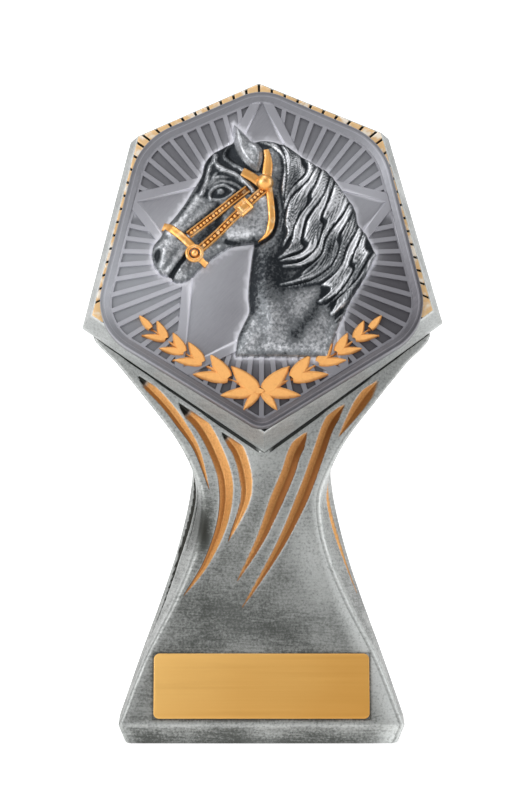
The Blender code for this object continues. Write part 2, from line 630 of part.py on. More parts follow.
def insert_outline(inset=0.0):
    """The insert's soft six-sided outline, drawn in by an amount along its own normals."""
    half = [(0.0, INSERT_TOP_REACH), INSERT_SHOULDER, INSERT_HIP, (0.0, -INSERT_BOTTOM_REACH)]
    corners = half + [(-x, y) for x, y in (half[2], half[1])]
    radii = [*INSERT_RADII, INSERT_RADII[2], INSERT_RADII[1]]
    outline = []
    for i, (corner, radius) in enumerate(zip(corners, radii)):
        corner = np.array(corner)
        back = np.array(corners[i - 1]) - corner
        ahead = np.array(corners[(i + 1) % 6]) - corner
        back, ahead = back / np.linalg.norm(back), ahead / np.linalg.norm(ahead)
        half_angle = math.acos(np.clip(back @ ahead, -1, 1)) / 2
        bisector = (back + ahead) / np.linalg.norm(back + ahead)
        centre = corner + bisector * radius / math.sin(half_angle)
        turn = math.pi / 2 - half_angle
        middle = math.atan2(-bisector[1], -bisector[0])
        for share in np.linspace(1, -1, 6):
            angle = middle + share * turn
            outline.append(centre + (radius - inset) * np.array([math.cos(angle), math.sin(angle)]))
    return np.array(outline)


def distance_to_line(points, line, closed=False):
    """Distance from each point to a polyline."""
    ends = np.roll(line, -1, axis=0) if closed else line[1:]
    starts = line if closed else line[:-1]
    best = np.full(len(points), np.inf)
    for a, b in zip(starts, ends):
        run = b - a
        share = np.clip((points - a) @ run / max(run @ run, 1e-18), 0, 1)
        best = np.minimum(best, np.linalg.norm(points - (a + share[:, None] * run), axis=1))
    return best


def inside(points, outline):
    """Whether each point lies inside a closed outline."""
    found = np.zeros(len(points), bool)
    for a, b in zip(outline, np.roll(outline, -1, axis=0)):
        crosses = (a[1] > points[:, 1]) != (b[1] > points[:, 1])
        if b[1] != a[1]:
            at = a[0] + (points[:, 1] - a[1]) * (b[0] - a[0]) / (b[1] - a[1])
            found ^= crosses & (points[:, 0] < at)
    return found


def depth_inside(points, outline):
    """Distance to an outline, positive inside."""
    return distance_to_line(points, outline, True) * np.where(inside(points, outline), 1, -1)


def star_outline(inset):
    """The fat five-pointed star, drawn in by an amount."""
    corners = []
    for i in range(10):
        angle = math.pi / 2 - i * math.pi / 5
        reach = STAR_WAIST if i % 2 else 1.0
        corners.append((reach * STAR_HALF_WIDTH * math.cos(angle),
                        STAR_CENTRE + reach * STAR_HALF_HEIGHT * math.sin(angle)))
    corners = np.array(corners)
    drawn = []
    for i, corner in enumerate(corners):
        back, ahead = corner - corners[i - 1], corners[(i + 1) % 10] - corner
        normal_a = np.array([back[1], -back[0]]) / np.linalg.norm(back)
        normal_b = np.array([ahead[1], -ahead[0]]) / np.linalg.norm(ahead)
        drawn.append(corner + np.linalg.inv([normal_a, normal_b]) @ (inset, inset))
    return np.array(drawn)


def star_bar_lines(outset):
    """Outer line of the bars round the star's flat, in five parts that end at the rim."""
    star, rim = star_outline(-outset), insert_outline(RIM_WIDTH)
    lines = []
    for i in range(1, 10, 2):
        waist = star[i]
        ends = []
        for tip in (star[i - 1], star[(i + 1) % 10]):
            spots = waist + (tip - waist) * np.linspace(0, 1, 400)[:, None]
            ends.append(spots[depth_inside(spots, rim) > 0][-1])
        lines.append(np.array([ends[0], waist, ends[1]]))
    return lines


def units(points):
    """Places in hundredths of the insert's height, as metres."""
    return np.asarray(points, float) * (INSERT_TOP_REACH + INSERT_BOTTOM_REACH) / 100


def horse_outline(grow=0.0):
    """The horse's outline, grown by an amount."""
    line = units(smooth_curve(HORSE_OUTLINE, 2, True, SHARP_OUTLINE_POINTS))
    run = np.roll(line, -1, axis=0) - np.roll(line, 1, axis=0)
    normal = np.stack([-run[:, 1], run[:, 0]], axis=1) / np.linalg.norm(run, axis=1)[:, None]
    return line + normal * grow


def mane_line(place):
    """One line down the mane, between the guides, from 0 in front to 1 at the back."""
    guides = units(MANE_GUIDES)
    spot = place * (len(guides) - 1)
    i = min(int(spot), len(guides) - 2)
    return smooth_curve(guides[i] * (1 - (spot - i)) + guides[i + 1] * (spot - i), 2)


def mane_valleys():
    """The valleys between the mane's locks."""
    return [mane_line(i / (MANE_VALLEYS - 1)) for i in range(MANE_VALLEYS)]


def mane_ridges():
    """The crests of the mane's locks."""
    return [mane_line((i + 0.5) / (MANE_VALLEYS - 1)) for i in range(MANE_VALLEYS - 1)]


def leaf_outline(tip, base):
    """One pointed laurel leaf from its base to its tip."""
    tip, base = units(tip), units(base)
    run = tip - base
    across = np.array([-run[1], run[0]]) * LEAF_WIDTH_SHARE / 2
    right = [base + run * s + across * math.sin(math.pi * s**0.85) for s in LEAF_STATIONS]
    left = [base + run * s - across * math.sin(math.pi * s**0.85) for s in LEAF_STATIONS[-2:0:-1]]
    return np.array(right + left)


def laurel_leaves():
    """Outlines and midribs of every leaf and tail of the wreath, both halves."""
    runs = [(tip, base) for upper, lower, base in LAUREL_CLUSTERS for tip in (upper, lower)]
    runs += [LAUREL_END_LEAF, LAUREL_TAIL]
    mirrored = [[(2 * LAUREL_MIDLINE - x, y) for x, y in run] for run in runs]
    return [(leaf_outline(*run), units(run)) for run in [*runs, *mirrored]]


def ramp(depth, width):
    """0 outside an edge, 1 a draft's width inside it."""
    return np.clip(depth / width, 0, 1)


def bump(points, centre, radius):
    """A round swelling of height 1."""
    return np.exp(-((np.linalg.norm(points - units(centre), axis=1) / radius) ** 2))


def field_height(points):
    """Rim, border, ribs, star with its bars, and pockets of the insert, above the head's ledge."""
    rim = depth_inside(points, insert_outline())
    star = depth_inside(points, star_outline(0.0))
    from_middle = np.linalg.norm(points, axis=1)
    pitch = 2 * math.pi / RIB_COUNT
    angle = np.arctan2(points[:, 0], -points[:, 1])
    off_rib = (angle + pitch / 2) % pitch - pitch / 2
    rib = RIB_WIDTH / 2 + WALL_DRAFT - from_middle * np.abs(np.sin(off_rib))
    height = POCKET_FLOOR + (RIB_TOP - POCKET_FLOOR) * ramp(rib, WALL_DRAFT)
    border = RIM_WIDTH + BORDER_WIDTH + WALL_DRAFT - rim
    height = np.maximum(height, POCKET_FLOOR + (RIB_TOP - POCKET_FLOOR) * ramp(border, WALL_DRAFT))
    outside = STAR_BAR_WIDTH + 2 * WALL_DRAFT
    bar = POCKET_FLOOR + (STAR_BAR_TOP - POCKET_FLOOR) * ramp(star + outside, WALL_DRAFT)
    bar += (STAR_FLAT - STAR_BAR_TOP) * ramp(star + WALL_DRAFT, WALL_DRAFT)
    height = np.where(star > -outside, np.maximum(height, bar), height)
    height = np.where(star > -WALL_DRAFT, bar, height)
    height = np.where(border > 0, np.maximum(height, RIB_TOP), height)
    slope = 1 - np.clip((rim - RIM_LIP) / (RIM_WIDTH - RIM_LIP), 0, 1)
    return np.where(rim < RIM_WIDTH, RIB_TOP + (INSERT_RIM_TOP - RIB_TOP) * slope, height)


def horse_height(points):
    """The horse's relief above the head's ledge, or zero off the horse."""
    depth = depth_inside(points, horse_outline())
    base = STAR_FLAT + HORSE_EDGE_RISE * ramp(depth + HORSE_EDGE_DRAFT, HORSE_EDGE_DRAFT)
    height = base + HORSE_DOME * (1 - np.exp(-np.maximum(depth, 0) / HORSE_DOME_REACH))
    for centre, radius, rise in HORSE_SWELLINGS:
        height += rise * bump(points, centre, radius)
    folds = [*HORSE_FOLDS, *((lock, *FORELOCK_SECTION) for lock in FORELOCKS)]
    for route, width, rise in folds:
        height += rise * np.exp(-((distance_to_line(points, units(route)) / width) ** 2))
    valley = np.full(len(points), np.inf)
    for line in mane_valleys():
        valley = np.minimum(valley, distance_to_line(points, line))
    ridge = np.full(len(points), np.inf)
    for line in mane_ridges():
        ridge = np.minimum(ridge, distance_to_line(points, line))
    in_mane = np.clip(1.5 - np.minimum(ridge, valley) / LOCK_REACH, 0, 1)
    height += in_mane * LOCK_RISE * (np.clip(valley / LOCK_RISE, 0, 1) - 0.5)
    return np.where(depth > -HORSE_EDGE_DRAFT, height, 0.0)


def strap_outline(width, run):
    """A halter strap as a flat band with square ends."""
    line = units(smooth_curve(run, 2)) if len(run) > 2 else units(run)
    half = units(width) / 2
    along = np.gradient(line, axis=0)
    across = np.stack([-along[:, 1], along[:, 0]], axis=1) / np.linalg.norm(along, axis=1)[:, None] * half
    return np.concatenate([line + across, (line - across)[::-1]])


def disc_outline(x, y, radius, sides=10):
    """A round boss of the halter."""
    turns = np.arange(sides) * 2 * math.pi / sides
    return units(np.stack([x + radius * np.cos(turns), y + radius * np.sin(turns)], axis=1))


def halter_outlines():
    """Every strap, ring, rosette and buckle of the halter, with its extra rise."""
    outlines = [(strap_outline(width, run), HALTER_RISE) for width, run in HALTER_STRAPS]
    outlines.append((disc_outline(*HALTER_RING), 1.5 * HALTER_RISE))
    outlines.append((disc_outline(*HALTER_ROSETTE), 2.0 * HALTER_RISE))
    x, y, length, width = HALTER_BUCKLE
    lower = np.array(HALTER_STRAPS[2][1])
    along = (lower[1] - lower[0]) / np.linalg.norm(lower[1] - lower[0])
    ends = [np.array((x, y)) - along * length / 2, np.array((x, y)) + along * length / 2]
    outlines.append((strap_outline(width, ends), 1.6 * HALTER_RISE))
    return outlines


def relief_height(points):
    """Height of the whole insert's face above the head's ledge."""
    height = np.maximum(field_height(points), horse_height(points))
    lift = np.zeros(len(points))
    for outline, rise in halter_outlines():
        lift = np.maximum(lift, rise * ramp(depth_inside(points, outline), WALL_DRAFT))
    leaf = np.zeros(len(points))
    for outline, rib in laurel_leaves():
        depth = depth_inside(points, outline)
        crest = 0.7 * LEAF_RISE * ramp(depth, WALL_DRAFT) + 0.3 * LEAF_RISE * np.clip(depth / MM, 0, 1)
        leaf = np.maximum(leaf, crest)
    return np.maximum(height + lift, np.where(leaf > 0, STAR_FLAT + leaf, 0))


class PlanarNet:
    """Points and edges that the relief's triangles have to follow."""

    def __init__(self):
        self.points = []
        self.edges = []

    def add_line(self, line, closed=False):
        first = len(self.points)
        self.points += [tuple(point) for point in line]
        count = len(line)
        self.edges += [(first + i, first + (i + 1) % count) for i in range(count if closed else count - 1)]

    def add_points(self, points):
        self.points += [tuple(point) for point in points]


def reach_of(outline, angle):
    """Farthest crossing of an outline by the ray from the insert's middle in a direction."""
    direction = np.array([math.sin(angle), -math.cos(angle)])
    best = 0.0
    for a, b in zip(outline, np.roll(outline, -1, axis=0)):
        run = b - a
        cross = direction[0] * run[1] - direction[1] * run[0]
        if abs(cross) < 1e-12:
            continue
        far = (a[0] * run[1] - a[1] * run[0]) / cross
        share = (a[0] * direction[1] - a[1] * direction[0]) / cross
        if 0 <= share <= 1:
            best = max(best, far)
    return best


def add_ribs(net):
    """The drafted sides of every radial rib between the star or the horse and the border."""
    star, horse = star_outline(-STAR_BAR_WIDTH - 2 * WALL_DRAFT - 0.1 * MM), horse_outline(0.6 * MM)
    border = insert_outline(RIM_WIDTH + BORDER_WIDTH)
    for i in range(RIB_COUNT):
        angle = i * 2 * math.pi / RIB_COUNT
        near = max(reach_of(star, angle), reach_of(horse, angle))
        far = reach_of(border, angle)
        if far - near < 1.0 * MM:
            continue
        out = np.array([math.sin(angle), -math.cos(angle)])
        across = np.array([out[1], -out[0]])
        for side in (-1, 1):
            for half in (RIB_WIDTH / 2, RIB_WIDTH / 2 + WALL_DRAFT):
                ends = [out * (near - 0.35 * MM), out * (far + 0.35 * MM)]
                net.add_line([end + across * side * half for end in ends])


def add_grain(net):
    """Evenly spread points that carry the horse's rounded forms."""
    outline = horse_outline()
    low, high = outline.min(axis=0), outline.max(axis=0)
    rows = int((high[1] - low[1]) / (HORSE_GRAIN * 0.87))
    lines = [*mane_valleys(), *mane_ridges()]
    for row in range(rows + 1):
        y = low[1] + row * HORSE_GRAIN * 0.87
        x = np.arange(low[0] + (row % 2) * HORSE_GRAIN / 2, high[0], HORSE_GRAIN)
        spots = np.stack([x, np.full(len(x), y)], axis=1)
        keep = depth_inside(spots, outline) > GRAIN_CLEARANCE
        for line in lines:
            keep &= distance_to_line(spots, line) > GRAIN_CLEARANCE
        net.add_points(spots[keep])


def relief_net():
    """The plan of the insert's face: every edge that has to show, and the horse's grain."""
    net = PlanarNet()
    for inset in (0.0, RIM_LIP, RIM_WIDTH, RIM_WIDTH + BORDER_WIDTH, RIM_WIDTH + BORDER_WIDTH + WALL_DRAFT):
        net.add_line(insert_outline(inset), True)
    for outset in (0.0, WALL_DRAFT):
        net.add_line(star_outline(-outset), True)
        for line in star_bar_lines(STAR_BAR_WIDTH + WALL_DRAFT + outset):
            net.add_line(line)
    add_ribs(net)
    for grow in (0.5 * MM, 0.0):
        net.add_line(horse_outline(grow), True)
    for line in [*mane_valleys(), *mane_ridges()]:
        net.add_line(line)
    for outline, _ in halter_outlines():
        net.add_line(outline, True)
    for outline, rib in laurel_leaves():
        net.add_line(outline, True)
        net.add_line(rib)
    add_grain(net)
    return net


def outer_loop(faces):
    """Corner numbers round the open edge of a sheet of faces, in order."""
    following = {}
    for face in faces:
        for i, corner in enumerate(face):
            following[corner, face[(i + 1) % len(face)]] = True
    step = {a: b for a, b in following if (b, a) not in following}
    loop = [next(iter(step))]
    while step[loop[-1]] != loop[0]:
        loop.append(step[loop[-1]])
    return loop


def build_insert(finish):
    """The moulded insert as one closed solid under its relief face."""
    net = relief_net()
    scale = 1 / MM
    plan = [Vector((x * scale, y * scale)) for x, y in net.points]
    points, _, faces, *_ = delaunay_2d_cdt(plan, net.edges, [], 0, 0.02)
    flat = np.array([(p.x, p.y) for p in points]) * MM
    height = relief_height(flat)
    faces = [tuple(face) for face in faces]
    rim = outer_loop(faces)
    height[rim] = INSERT_RIM_TOP
    vertices = [head_place(*spot, rise, 0.0) for spot, rise in zip(flat, height)]
    first = len(vertices)
    vertices += [head_place(*flat[i], FIT_GAP, 0.0) for i in rim]
    count = len(rim)
    faces.append(tuple(range(first, first + count)))
    for i in range(count):
        j = (i + 1) % count
        faces.append((rim[i], rim[j], first + j, first + i))
    return mesh_object("insert", vertices, faces, finish)


def main():
    clear_scene()
    silver = material("antique_silver", (0.42, 0.43, 0.42), 0.42, 0.75)
    pewter = material("pewter_insert", (0.36, 0.36, 0.39), 0.45, 0.6)
    gold = material("satin_gold", (0.78, 0.50, 0.18), 0.35, 0.9)
    build_stand(silver)
    build_insert(pewter)
    build_plate(gold)


main()
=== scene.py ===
"""Dressed model of the horse trophy: a cast stand, a moulded relief insert and a blank engraving plate."""

import logging
import math
from dataclasses import dataclass, field
from enum import Enum

import bmesh
import bpy
import numpy as np
from mathutils import Matrix, Vector
from mathutils.geometry import delaunay_2d_cdt

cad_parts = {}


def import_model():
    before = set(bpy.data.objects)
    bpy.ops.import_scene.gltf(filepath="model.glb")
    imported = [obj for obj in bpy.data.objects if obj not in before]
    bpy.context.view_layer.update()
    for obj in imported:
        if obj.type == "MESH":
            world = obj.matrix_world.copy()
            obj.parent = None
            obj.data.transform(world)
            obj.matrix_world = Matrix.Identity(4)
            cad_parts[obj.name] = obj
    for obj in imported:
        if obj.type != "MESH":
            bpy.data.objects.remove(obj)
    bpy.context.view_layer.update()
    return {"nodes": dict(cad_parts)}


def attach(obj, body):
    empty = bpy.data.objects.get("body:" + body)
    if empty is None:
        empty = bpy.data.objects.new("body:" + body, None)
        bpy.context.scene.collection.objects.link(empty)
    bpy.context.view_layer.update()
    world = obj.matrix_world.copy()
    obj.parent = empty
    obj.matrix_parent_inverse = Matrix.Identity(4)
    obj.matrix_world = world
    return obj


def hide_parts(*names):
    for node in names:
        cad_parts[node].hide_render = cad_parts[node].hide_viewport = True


LOG = logging.getLogger("horse_trophy")
MM = 0.001
IMAGE_SIZE = (528, 800)
Array = np.ndarray
Piece = bpy.types.Object
Socket = bpy.types.NodeSocket
Spot = tuple[float, float]
Triple = tuple[float, float, float]
Route = tuple[Spot, ...]
Faces = list[tuple[int, ...]]


class Slot(Enum):
    """Material slot names of the record; no piece in this script takes its finish from them."""

    SILVER = "antique_silver"
    PEWTER = "pewter_insert"
    GOLD = "satin_gold"


# Shared shapes


def smooth_curve(points: Array, steps: int, closed: bool = False, sharp: tuple[int, ...] = ()) -> Array:
    """Points along a Catmull-Rom curve.

    Args:
        points: The points that the curve passes through.
        steps: How many pieces each span is cut into.
        closed: Whether the curve returns to its start.
        sharp: Indices of points that stay corners.

    Returns:
        The points of the curve.
    """
    points = np.asarray(points, float)
    count = len(points)
    found = []
    for i in range(count if closed else count - 1):
        p1, p2 = points[i], points[(i + 1) % count]
        p0 = points[i - 1] if (closed or i) and i not in sharp else p1
        after = (i + 2) % count if closed else min(i + 2, count - 1)
        p3 = p2 if (i + 1) % count in sharp else points[after]
        for t in np.arange(steps) / steps:
            found.append(
                0.5 * (2 * p1 + (p2 - p0) * t + (2 * p0 - 5 * p1 + 4 * p2 - p3) * t**2
                       + (3 * p1 - p0 - 3 * p2 + p3) * t**3)
            )
    if not closed:
        found.append(points[-1])
    return np.array(found)


def resampled(line: Array, pitch: float, closed: bool = False) -> Array:
    """A polyline with evenly spaced points.

    Args:
        line: The polyline's points.
        pitch: The wanted distance between points.
        closed: Whether the polyline returns to its start.

    Returns:
        The new points, without a repeated end where it is closed.
    """
    line = np.vstack([line, line[:1]]) if closed else line
    lengths = np.r_[0, np.cumsum(np.linalg.norm(np.diff(line, axis=0), axis=1))]
    count = max(int(round(lengths[-1] / pitch)), 3)
    places = np.linspace(0, lengths[-1], count + 1)
    even = np.stack([np.interp(places, lengths, line[:, i]) for i in range(line.shape[1])], axis=1)
    return even[:-1] if closed else even


def along_line(points: Array, line: Array, reach: float = 4 * MM) -> tuple[Array, Array, Array]:
    """Where points lie beside a polyline.

    Args:
        points: Points in the plane, one per row.
        line: The polyline's points.
        reach: Points further off than this may count as endlessly far.

    Returns:
        The distance to the line, the share along it, and the side as +1 or -1.
    """
    lengths = np.r_[0, np.cumsum(np.linalg.norm(np.diff(line, axis=0), axis=1))]
    best = np.full(len(points), 1.0)
    share = np.zeros(len(points))
    side = np.ones(len(points))
    x, y = points.T
    for i, (a, b) in enumerate(zip(line[:-1], line[1:])):
        low, high = np.minimum(a, b) - reach, np.maximum(a, b) + reach
        near = np.flatnonzero((x > low[0]) & (x < high[0]) & (y > low[1]) & (y < high[1]))
        run = b - a
        t = np.clip((points[near] - a) @ run / max(run @ run, 1e-18), 0, 1)
        off = points[near] - (a + t[:, None] * run)
        distance = np.hypot(off[:, 0], off[:, 1])
        nearer = distance < best[near]
        found = near[nearer]
        best[found] = distance[nearer]
        share[found] = (lengths[i] + t[nearer] * (lengths[i + 1] - lengths[i])) / lengths[-1]
        side[found] = np.where(run[0] * off[nearer, 1] - run[1] * off[nearer, 0] > 0, 1, -1)
    return best, share, side


def loop_distance(points: Array, outline: Array) -> Array:
    """Distance from points to a closed outline, positive inside."""
    best = np.full(len(points), np.inf)
    inside = np.zeros(len(points), bool)
    for a, b in zip(outline, np.roll(outline, -1, axis=0)):
        run = b - a
        t = np.clip((points - a) @ run / max(run @ run, 1e-18), 0, 1)
        best = np.minimum(best, np.hypot(points[:, 0] - a[0] - t * run[0], points[:, 1] - a[1] - t * run[1]))
        if b[1] != a[1]:
            crosses = (a[1] > points[:, 1]) != (b[1] > points[:, 1])
            inside ^= crosses & (points[:, 0] < a[0] + (points[:, 1] - a[1]) * run[0] / run[1])
    return np.where(inside, best, -best)


def step(values: Array, start: float, end: float) -> Array:
    """A smooth step from 0 at start to 1 at end."""
    t = np.clip((values - start) / (end - start), 0, 1)
    return t * t * (3 - 2 * t)


def bell(off: Array, width: float) -> Array:
    """A soft hump: 1 where off is 0, and gone about two widths away."""
    return np.exp(-((off / width) ** 2))


def mesh_piece(name: str, vertices: Array, faces: Faces, smooth_angle: float = 180.0) -> Piece:
    """A mesh object at the origin with outward faces.

    Args:
        name: The object's name.
        vertices: Vertex places in metres.
        faces: Corner numbers of each face.
        smooth_angle: Edges sharper than this, in degrees, stay sharp.

    Returns:
        The new object.
    """
    mesh = bpy.data.meshes.new(name)
    mesh.from_pydata(np.asarray(vertices).tolist(), [], faces)
    work = bmesh.new()
    work.from_mesh(mesh)
    bmesh.ops.recalc_face_normals(work, faces=work.faces)
    work.to_mesh(mesh)
    work.free()
    piece = bpy.data.objects.new(name, mesh)
    bpy.context.scene.collection.objects.link(piece)
    shade(piece, smooth_angle)
    return piece


def pick(piece: Piece) -> None:
    """Make a piece the only selected and active one."""
    bpy.ops.object.select_all(action="DESELECT")
    piece.select_set(True)
    bpy.context.view_layer.objects.active = piece


def shade(piece: Piece, angle: float) -> None:
    """Shade a piece smooth, apart from edges sharper than an angle in degrees."""
    pick(piece)
    bpy.ops.object.shade_smooth_by_angle(angle=math.radians(angle))


def apply_all(piece: Piece) -> None:
    """Apply a piece's modifiers in order."""
    pick(piece)
    for modifier in list(piece.modifiers):
        bpy.ops.object.modifier_apply(modifier=modifier.name)


def bevelled(piece: Piece, width: float, segments: int, angle: float = 30.0) -> None:
    """Round a piece's edges that are sharper than an angle in degrees."""
    modifier = piece.modifiers.new("edges", "BEVEL")
    modifier.width = width
    modifier.segments = segments
    modifier.limit_method = "ANGLE"
    modifier.angle_limit = math.radians(angle)
    apply_all(piece)


def tube_faces(rings: int, count: int) -> Faces:
    """Faces of a closed tube of rings with equally many points, with its two ends."""
    faces = [
        (r * count + c, r * count + (c + 1) % count, (r + 1) * count + (c + 1) % count, (r + 1) * count + c)
        for r in range(rings - 1) for c in range(count)
    ]
    return faces + [tuple(range(count)), tuple(range((rings - 1) * count, rings * count))]


def mark(piece: Piece, name: str, values: Array) -> None:
    """Store one number for each vertex, for the materials to read."""
    layer = piece.data.attributes.new(name, "FLOAT", "POINT")
    layer.data.foreach_set("value", np.asarray(values, np.float32).ravel())


def finish_piece(piece: Piece, material: bpy.types.Material) -> None:
    """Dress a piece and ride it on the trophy."""
    if not piece.data.materials:
        piece.data.materials.append(material)
    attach(piece, "root")
    LOG.info("%s: %d faces", piece.name, len(piece.data.polygons))


# Finishes


class NodeBoard:
    """A short way to lay out the nodes of one material."""

    def __init__(self, name: str) -> None:
        """Make the material with its Principled shader.

        Args:
            name: The material's name.
        """
        self.material = bpy.data.materials.new(name)
        self.material.use_nodes = True
        self.tree = self.material.node_tree
        self.shader = self.tree.nodes["Principled BSDF"]
        self.place = self.node("ShaderNodeTexCoord").outputs["Object"]

    def node(self, kind: str, **settings: object) -> bpy.types.Node:
        """A new node with its settings."""
        made = self.tree.nodes.new(kind)
        for name, value in settings.items():
            setattr(made, name, value)
        return made

    def join(self, source: object, socket: Socket) -> None:
        """Link a socket, or set a plain value."""
        if isinstance(source, Socket):
            self.tree.links.new(source, socket)
        else:
            socket.default_value = source

    def mapped(self, scale: Triple, turn: Triple = (0, 0, 0)) -> Socket:
        """Object coordinates, turned and scaled."""
        mapping = self.node("ShaderNodeMapping", vector_type="TEXTURE")
        mapping.inputs["Scale"].default_value = tuple(1 / value for value in scale)
        mapping.inputs["Rotation"].default_value = turn
        self.join(self.place, mapping.inputs["Vector"])
        return mapping.outputs["Vector"]

    def noise(self, vector: Socket, scale: float = 1.0, detail: float = 4.0, rough: float = 0.6) -> Socket:
        """A noise value."""
        made = self.node("ShaderNodeTexNoise")
        made.inputs["Scale"].default_value = scale
        made.inputs["Detail"].default_value = detail
        made.inputs["Roughness"].default_value = rough
        self.join(vector, made.inputs["Vector"])
        return made.outputs["Fac"]

    def ramp(self, value: object, low: float, high: float, start: float = 0.0, end: float = 1.0) -> Socket:
        """A value mapped smoothly from one range to another."""
        made = self.node("ShaderNodeMapRange", interpolation_type="SMOOTHSTEP")
        for name, number in (("From Min", low), ("From Max", high), ("To Min", start), ("To Max", end)):
            made.inputs[name].default_value = number
        self.join(value, made.inputs["Value"])
        return made.outputs["Result"]

    def math(self, operation: str, first: object, second: object = 0.0) -> Socket:
        """Arithmetic on two values."""
        made = self.node("ShaderNodeMath", operation=operation)
        self.join(first, made.inputs[0])
        self.join(second, made.inputs[1])
        return made.outputs[0]

    def swing(self, value: object, texture: Socket, weight: float) -> Socket:
        """A value that a texture moves up and down by a weight."""
        return self.math("ADD", value, self.math("MULTIPLY", self.math("SUBTRACT", texture, 0.5), weight))

    def mix(self, share: object, first: object, second: object) -> Socket:
        """A colour between two colours."""
        made = self.node("ShaderNodeMix", data_type="RGBA")
        self.join(share, made.inputs[0])
        self.join(self.colour(first), made.inputs[6])
        self.join(self.colour(second), made.inputs[7])
        return made.outputs[2]

    @staticmethod
    def colour(value: object) -> object:
        """A plain colour with its alpha, or the socket as it is."""
        return (*value, 1.0) if isinstance(value, tuple) and len(value) == 3 else value

    def attribute(self, name: str) -> Socket:
        """A number that is stored on the vertices."""
        return self.node("ShaderNodeAttribute", attribute_name=name).outputs["Fac"]

    def bump(self, height: Socket, distance: float, strength: float = 1.0) -> None:
        """Fine relief on the shader's normal, after any that is there."""
        made = self.node("ShaderNodeBump")
        made.inputs["Strength"].default_value = strength
        made.inputs["Distance"].default_value = distance
        self.join(height, made.inputs["Height"])
        socket = self.shader.inputs["Normal"]
        if socket.is_linked:
            self.join(socket.links[0].from_socket, made.inputs["Normal"])
        self.join(made.outputs["Normal"], socket)

    def dress(self, colour: object, roughness: object, metallic: object) -> bpy.types.Material:
        """Join the shader's main inputs.

        Args:
            colour: Base colour or its socket.
            roughness: Roughness or its socket.
            metallic: Metallic or its socket.

        Returns:
            The finished material.
        """
        self.join(self.colour(colour), self.shader.inputs["Base Color"])
        self.join(roughness, self.shader.inputs["Roughness"])
        self.join(metallic, self.shader.inputs["Metallic"])
        return self.material


@dataclass(frozen=True)
class AntiqueSilver:
    """Silver paint over a dark wash, rubbed back in fine level streaks, with its gilding."""

    light: Triple = (0.33, 0.34, 0.33)
    wash: Triple = (0.075, 0.080, 0.074)
    # Colour of the bright marks: rubbed edges and painted highlights.
    wear_and_sheen: Triple = (0.66, 0.68, 0.67)
    gilt: Triple = (0.70, 0.36, 0.120)
    gilt_shade: Triple = (0.26, 0.10, 0.025)
    streaks: float = 0.6
    softness: float = 0.17
    lean: float = 0.0

    def material(self, name: str) -> bpy.types.Material:
        """The node material; it reads the gilt attribute, the shade attribute that darkens it with painted
        shade and darker patches, and the attribute of bright rubbing and painted highlights.
        """
        board = NodeBoard(name)
        turn = (self.lean, 0, 0)
        streak = board.noise(board.mapped((170, 170, 1900), turn), 1.0, 4, 0.62)
        scratch = board.noise(board.mapped((60, 60, 2600), (self.lean, 0.10, 0)), 1.0, 3, 0.6)
        speckle = board.noise(board.mapped((1500, 1500, 1500)), 1.0, 5, 0.7)
        cloud = board.noise(board.mapped((55, 55, 80)), 1.0, 5, 0.6)
        rub = board.math("MULTIPLY", board.math("SUBTRACT", streak, 0.5), 0.50 * self.streaks)
        rub = board.swing(rub, scratch, 0.30 * self.streaks)
        rub = board.swing(rub, speckle, 0.62)
        rub = board.swing(rub, cloud, 0.55)
        # Painted shade: the shade mark darkens the silver, turns it near black where strongest, and browns
        # the gold.
        rub = board.math("SUBTRACT", rub, board.math("MULTIPLY", board.attribute("shade"), 0.22))
        base = board.mix(board.ramp(rub, -self.softness, self.softness), self.wash, self.light)
        # Bright marks of rubbed edges and painted highlights.
        rub_and_sheen = board.math("MULTIPLY", board.attribute("wear_and_sheen"), board.ramp(speckle, 0.25, 0.55, 0.4, 1.0))
        base = board.mix(rub_and_sheen, base, self.wear_and_sheen)
        deep = board.ramp(board.attribute("shade"), 0.55, 1.0)
        base = board.mix(deep, base, (0.018, 0.018, 0.014))
        gold = board.mix(board.ramp(speckle, 0.30, 0.60), self.gilt_shade, self.gilt)
        gold = board.mix(0.65, gold, self.gilt)
        gold = board.mix(board.attribute("shade"), gold, self.gilt_shade)
        colour = board.mix(board.attribute("gilt"), base, gold)
        board.bump(streak, 0.00005, 0.5 * self.streaks)
        board.bump(speckle, 0.00008, 0.6)
        rough = board.ramp(rub, -self.softness, self.softness, 0.55, 0.38)
        return board.dress(colour, rough, 0.6)


@dataclass(frozen=True)
class Pewter:
    """Violet-grey metal of the insert, lighter on what stands up, brushed on the flats."""

    low: Triple = (0.078, 0.075, 0.085)
    high: Triple = (0.235, 0.232, 0.256)
    low_lit: Triple = (0.35, 0.36, 0.39)
    high_lit: Triple = (0.50, 0.505, 0.55)
    glow: Triple = (0.80, 0.80, 0.86)

    def material(self, name: str) -> bpy.types.Material:
        """The node material; it reads the attributes raised, lit and halo."""
        board = NodeBoard(name)
        brush = board.noise(board.mapped((70, 1500, 2600), (0, math.radians(-48), 0)), 1.0, 4, 0.6)
        grain = board.noise(board.mapped((1500, 1500, 1500)), 1.0, 4, 0.6)
        cloud = board.noise(board.mapped((60, 60, 60)), 1.0, 3, 0.5)
        tone = board.swing(board.attribute("raised"), brush, 0.36)
        tone = board.swing(tone, cloud, 0.30)
        low = board.mix(board.attribute("lit"), self.low, self.low_lit)
        high = board.mix(board.attribute("lit"), self.high, self.high_lit)
        base = board.mix(board.ramp(tone, 0.0, 1.0), low, high)
        base = board.mix(board.attribute("halo"), base, self.glow)
        board.bump(grain, 0.00005, 0.5)
        return board.dress(base, board.ramp(grain, 0.3, 0.7, 0.38, 0.5), 0.55)


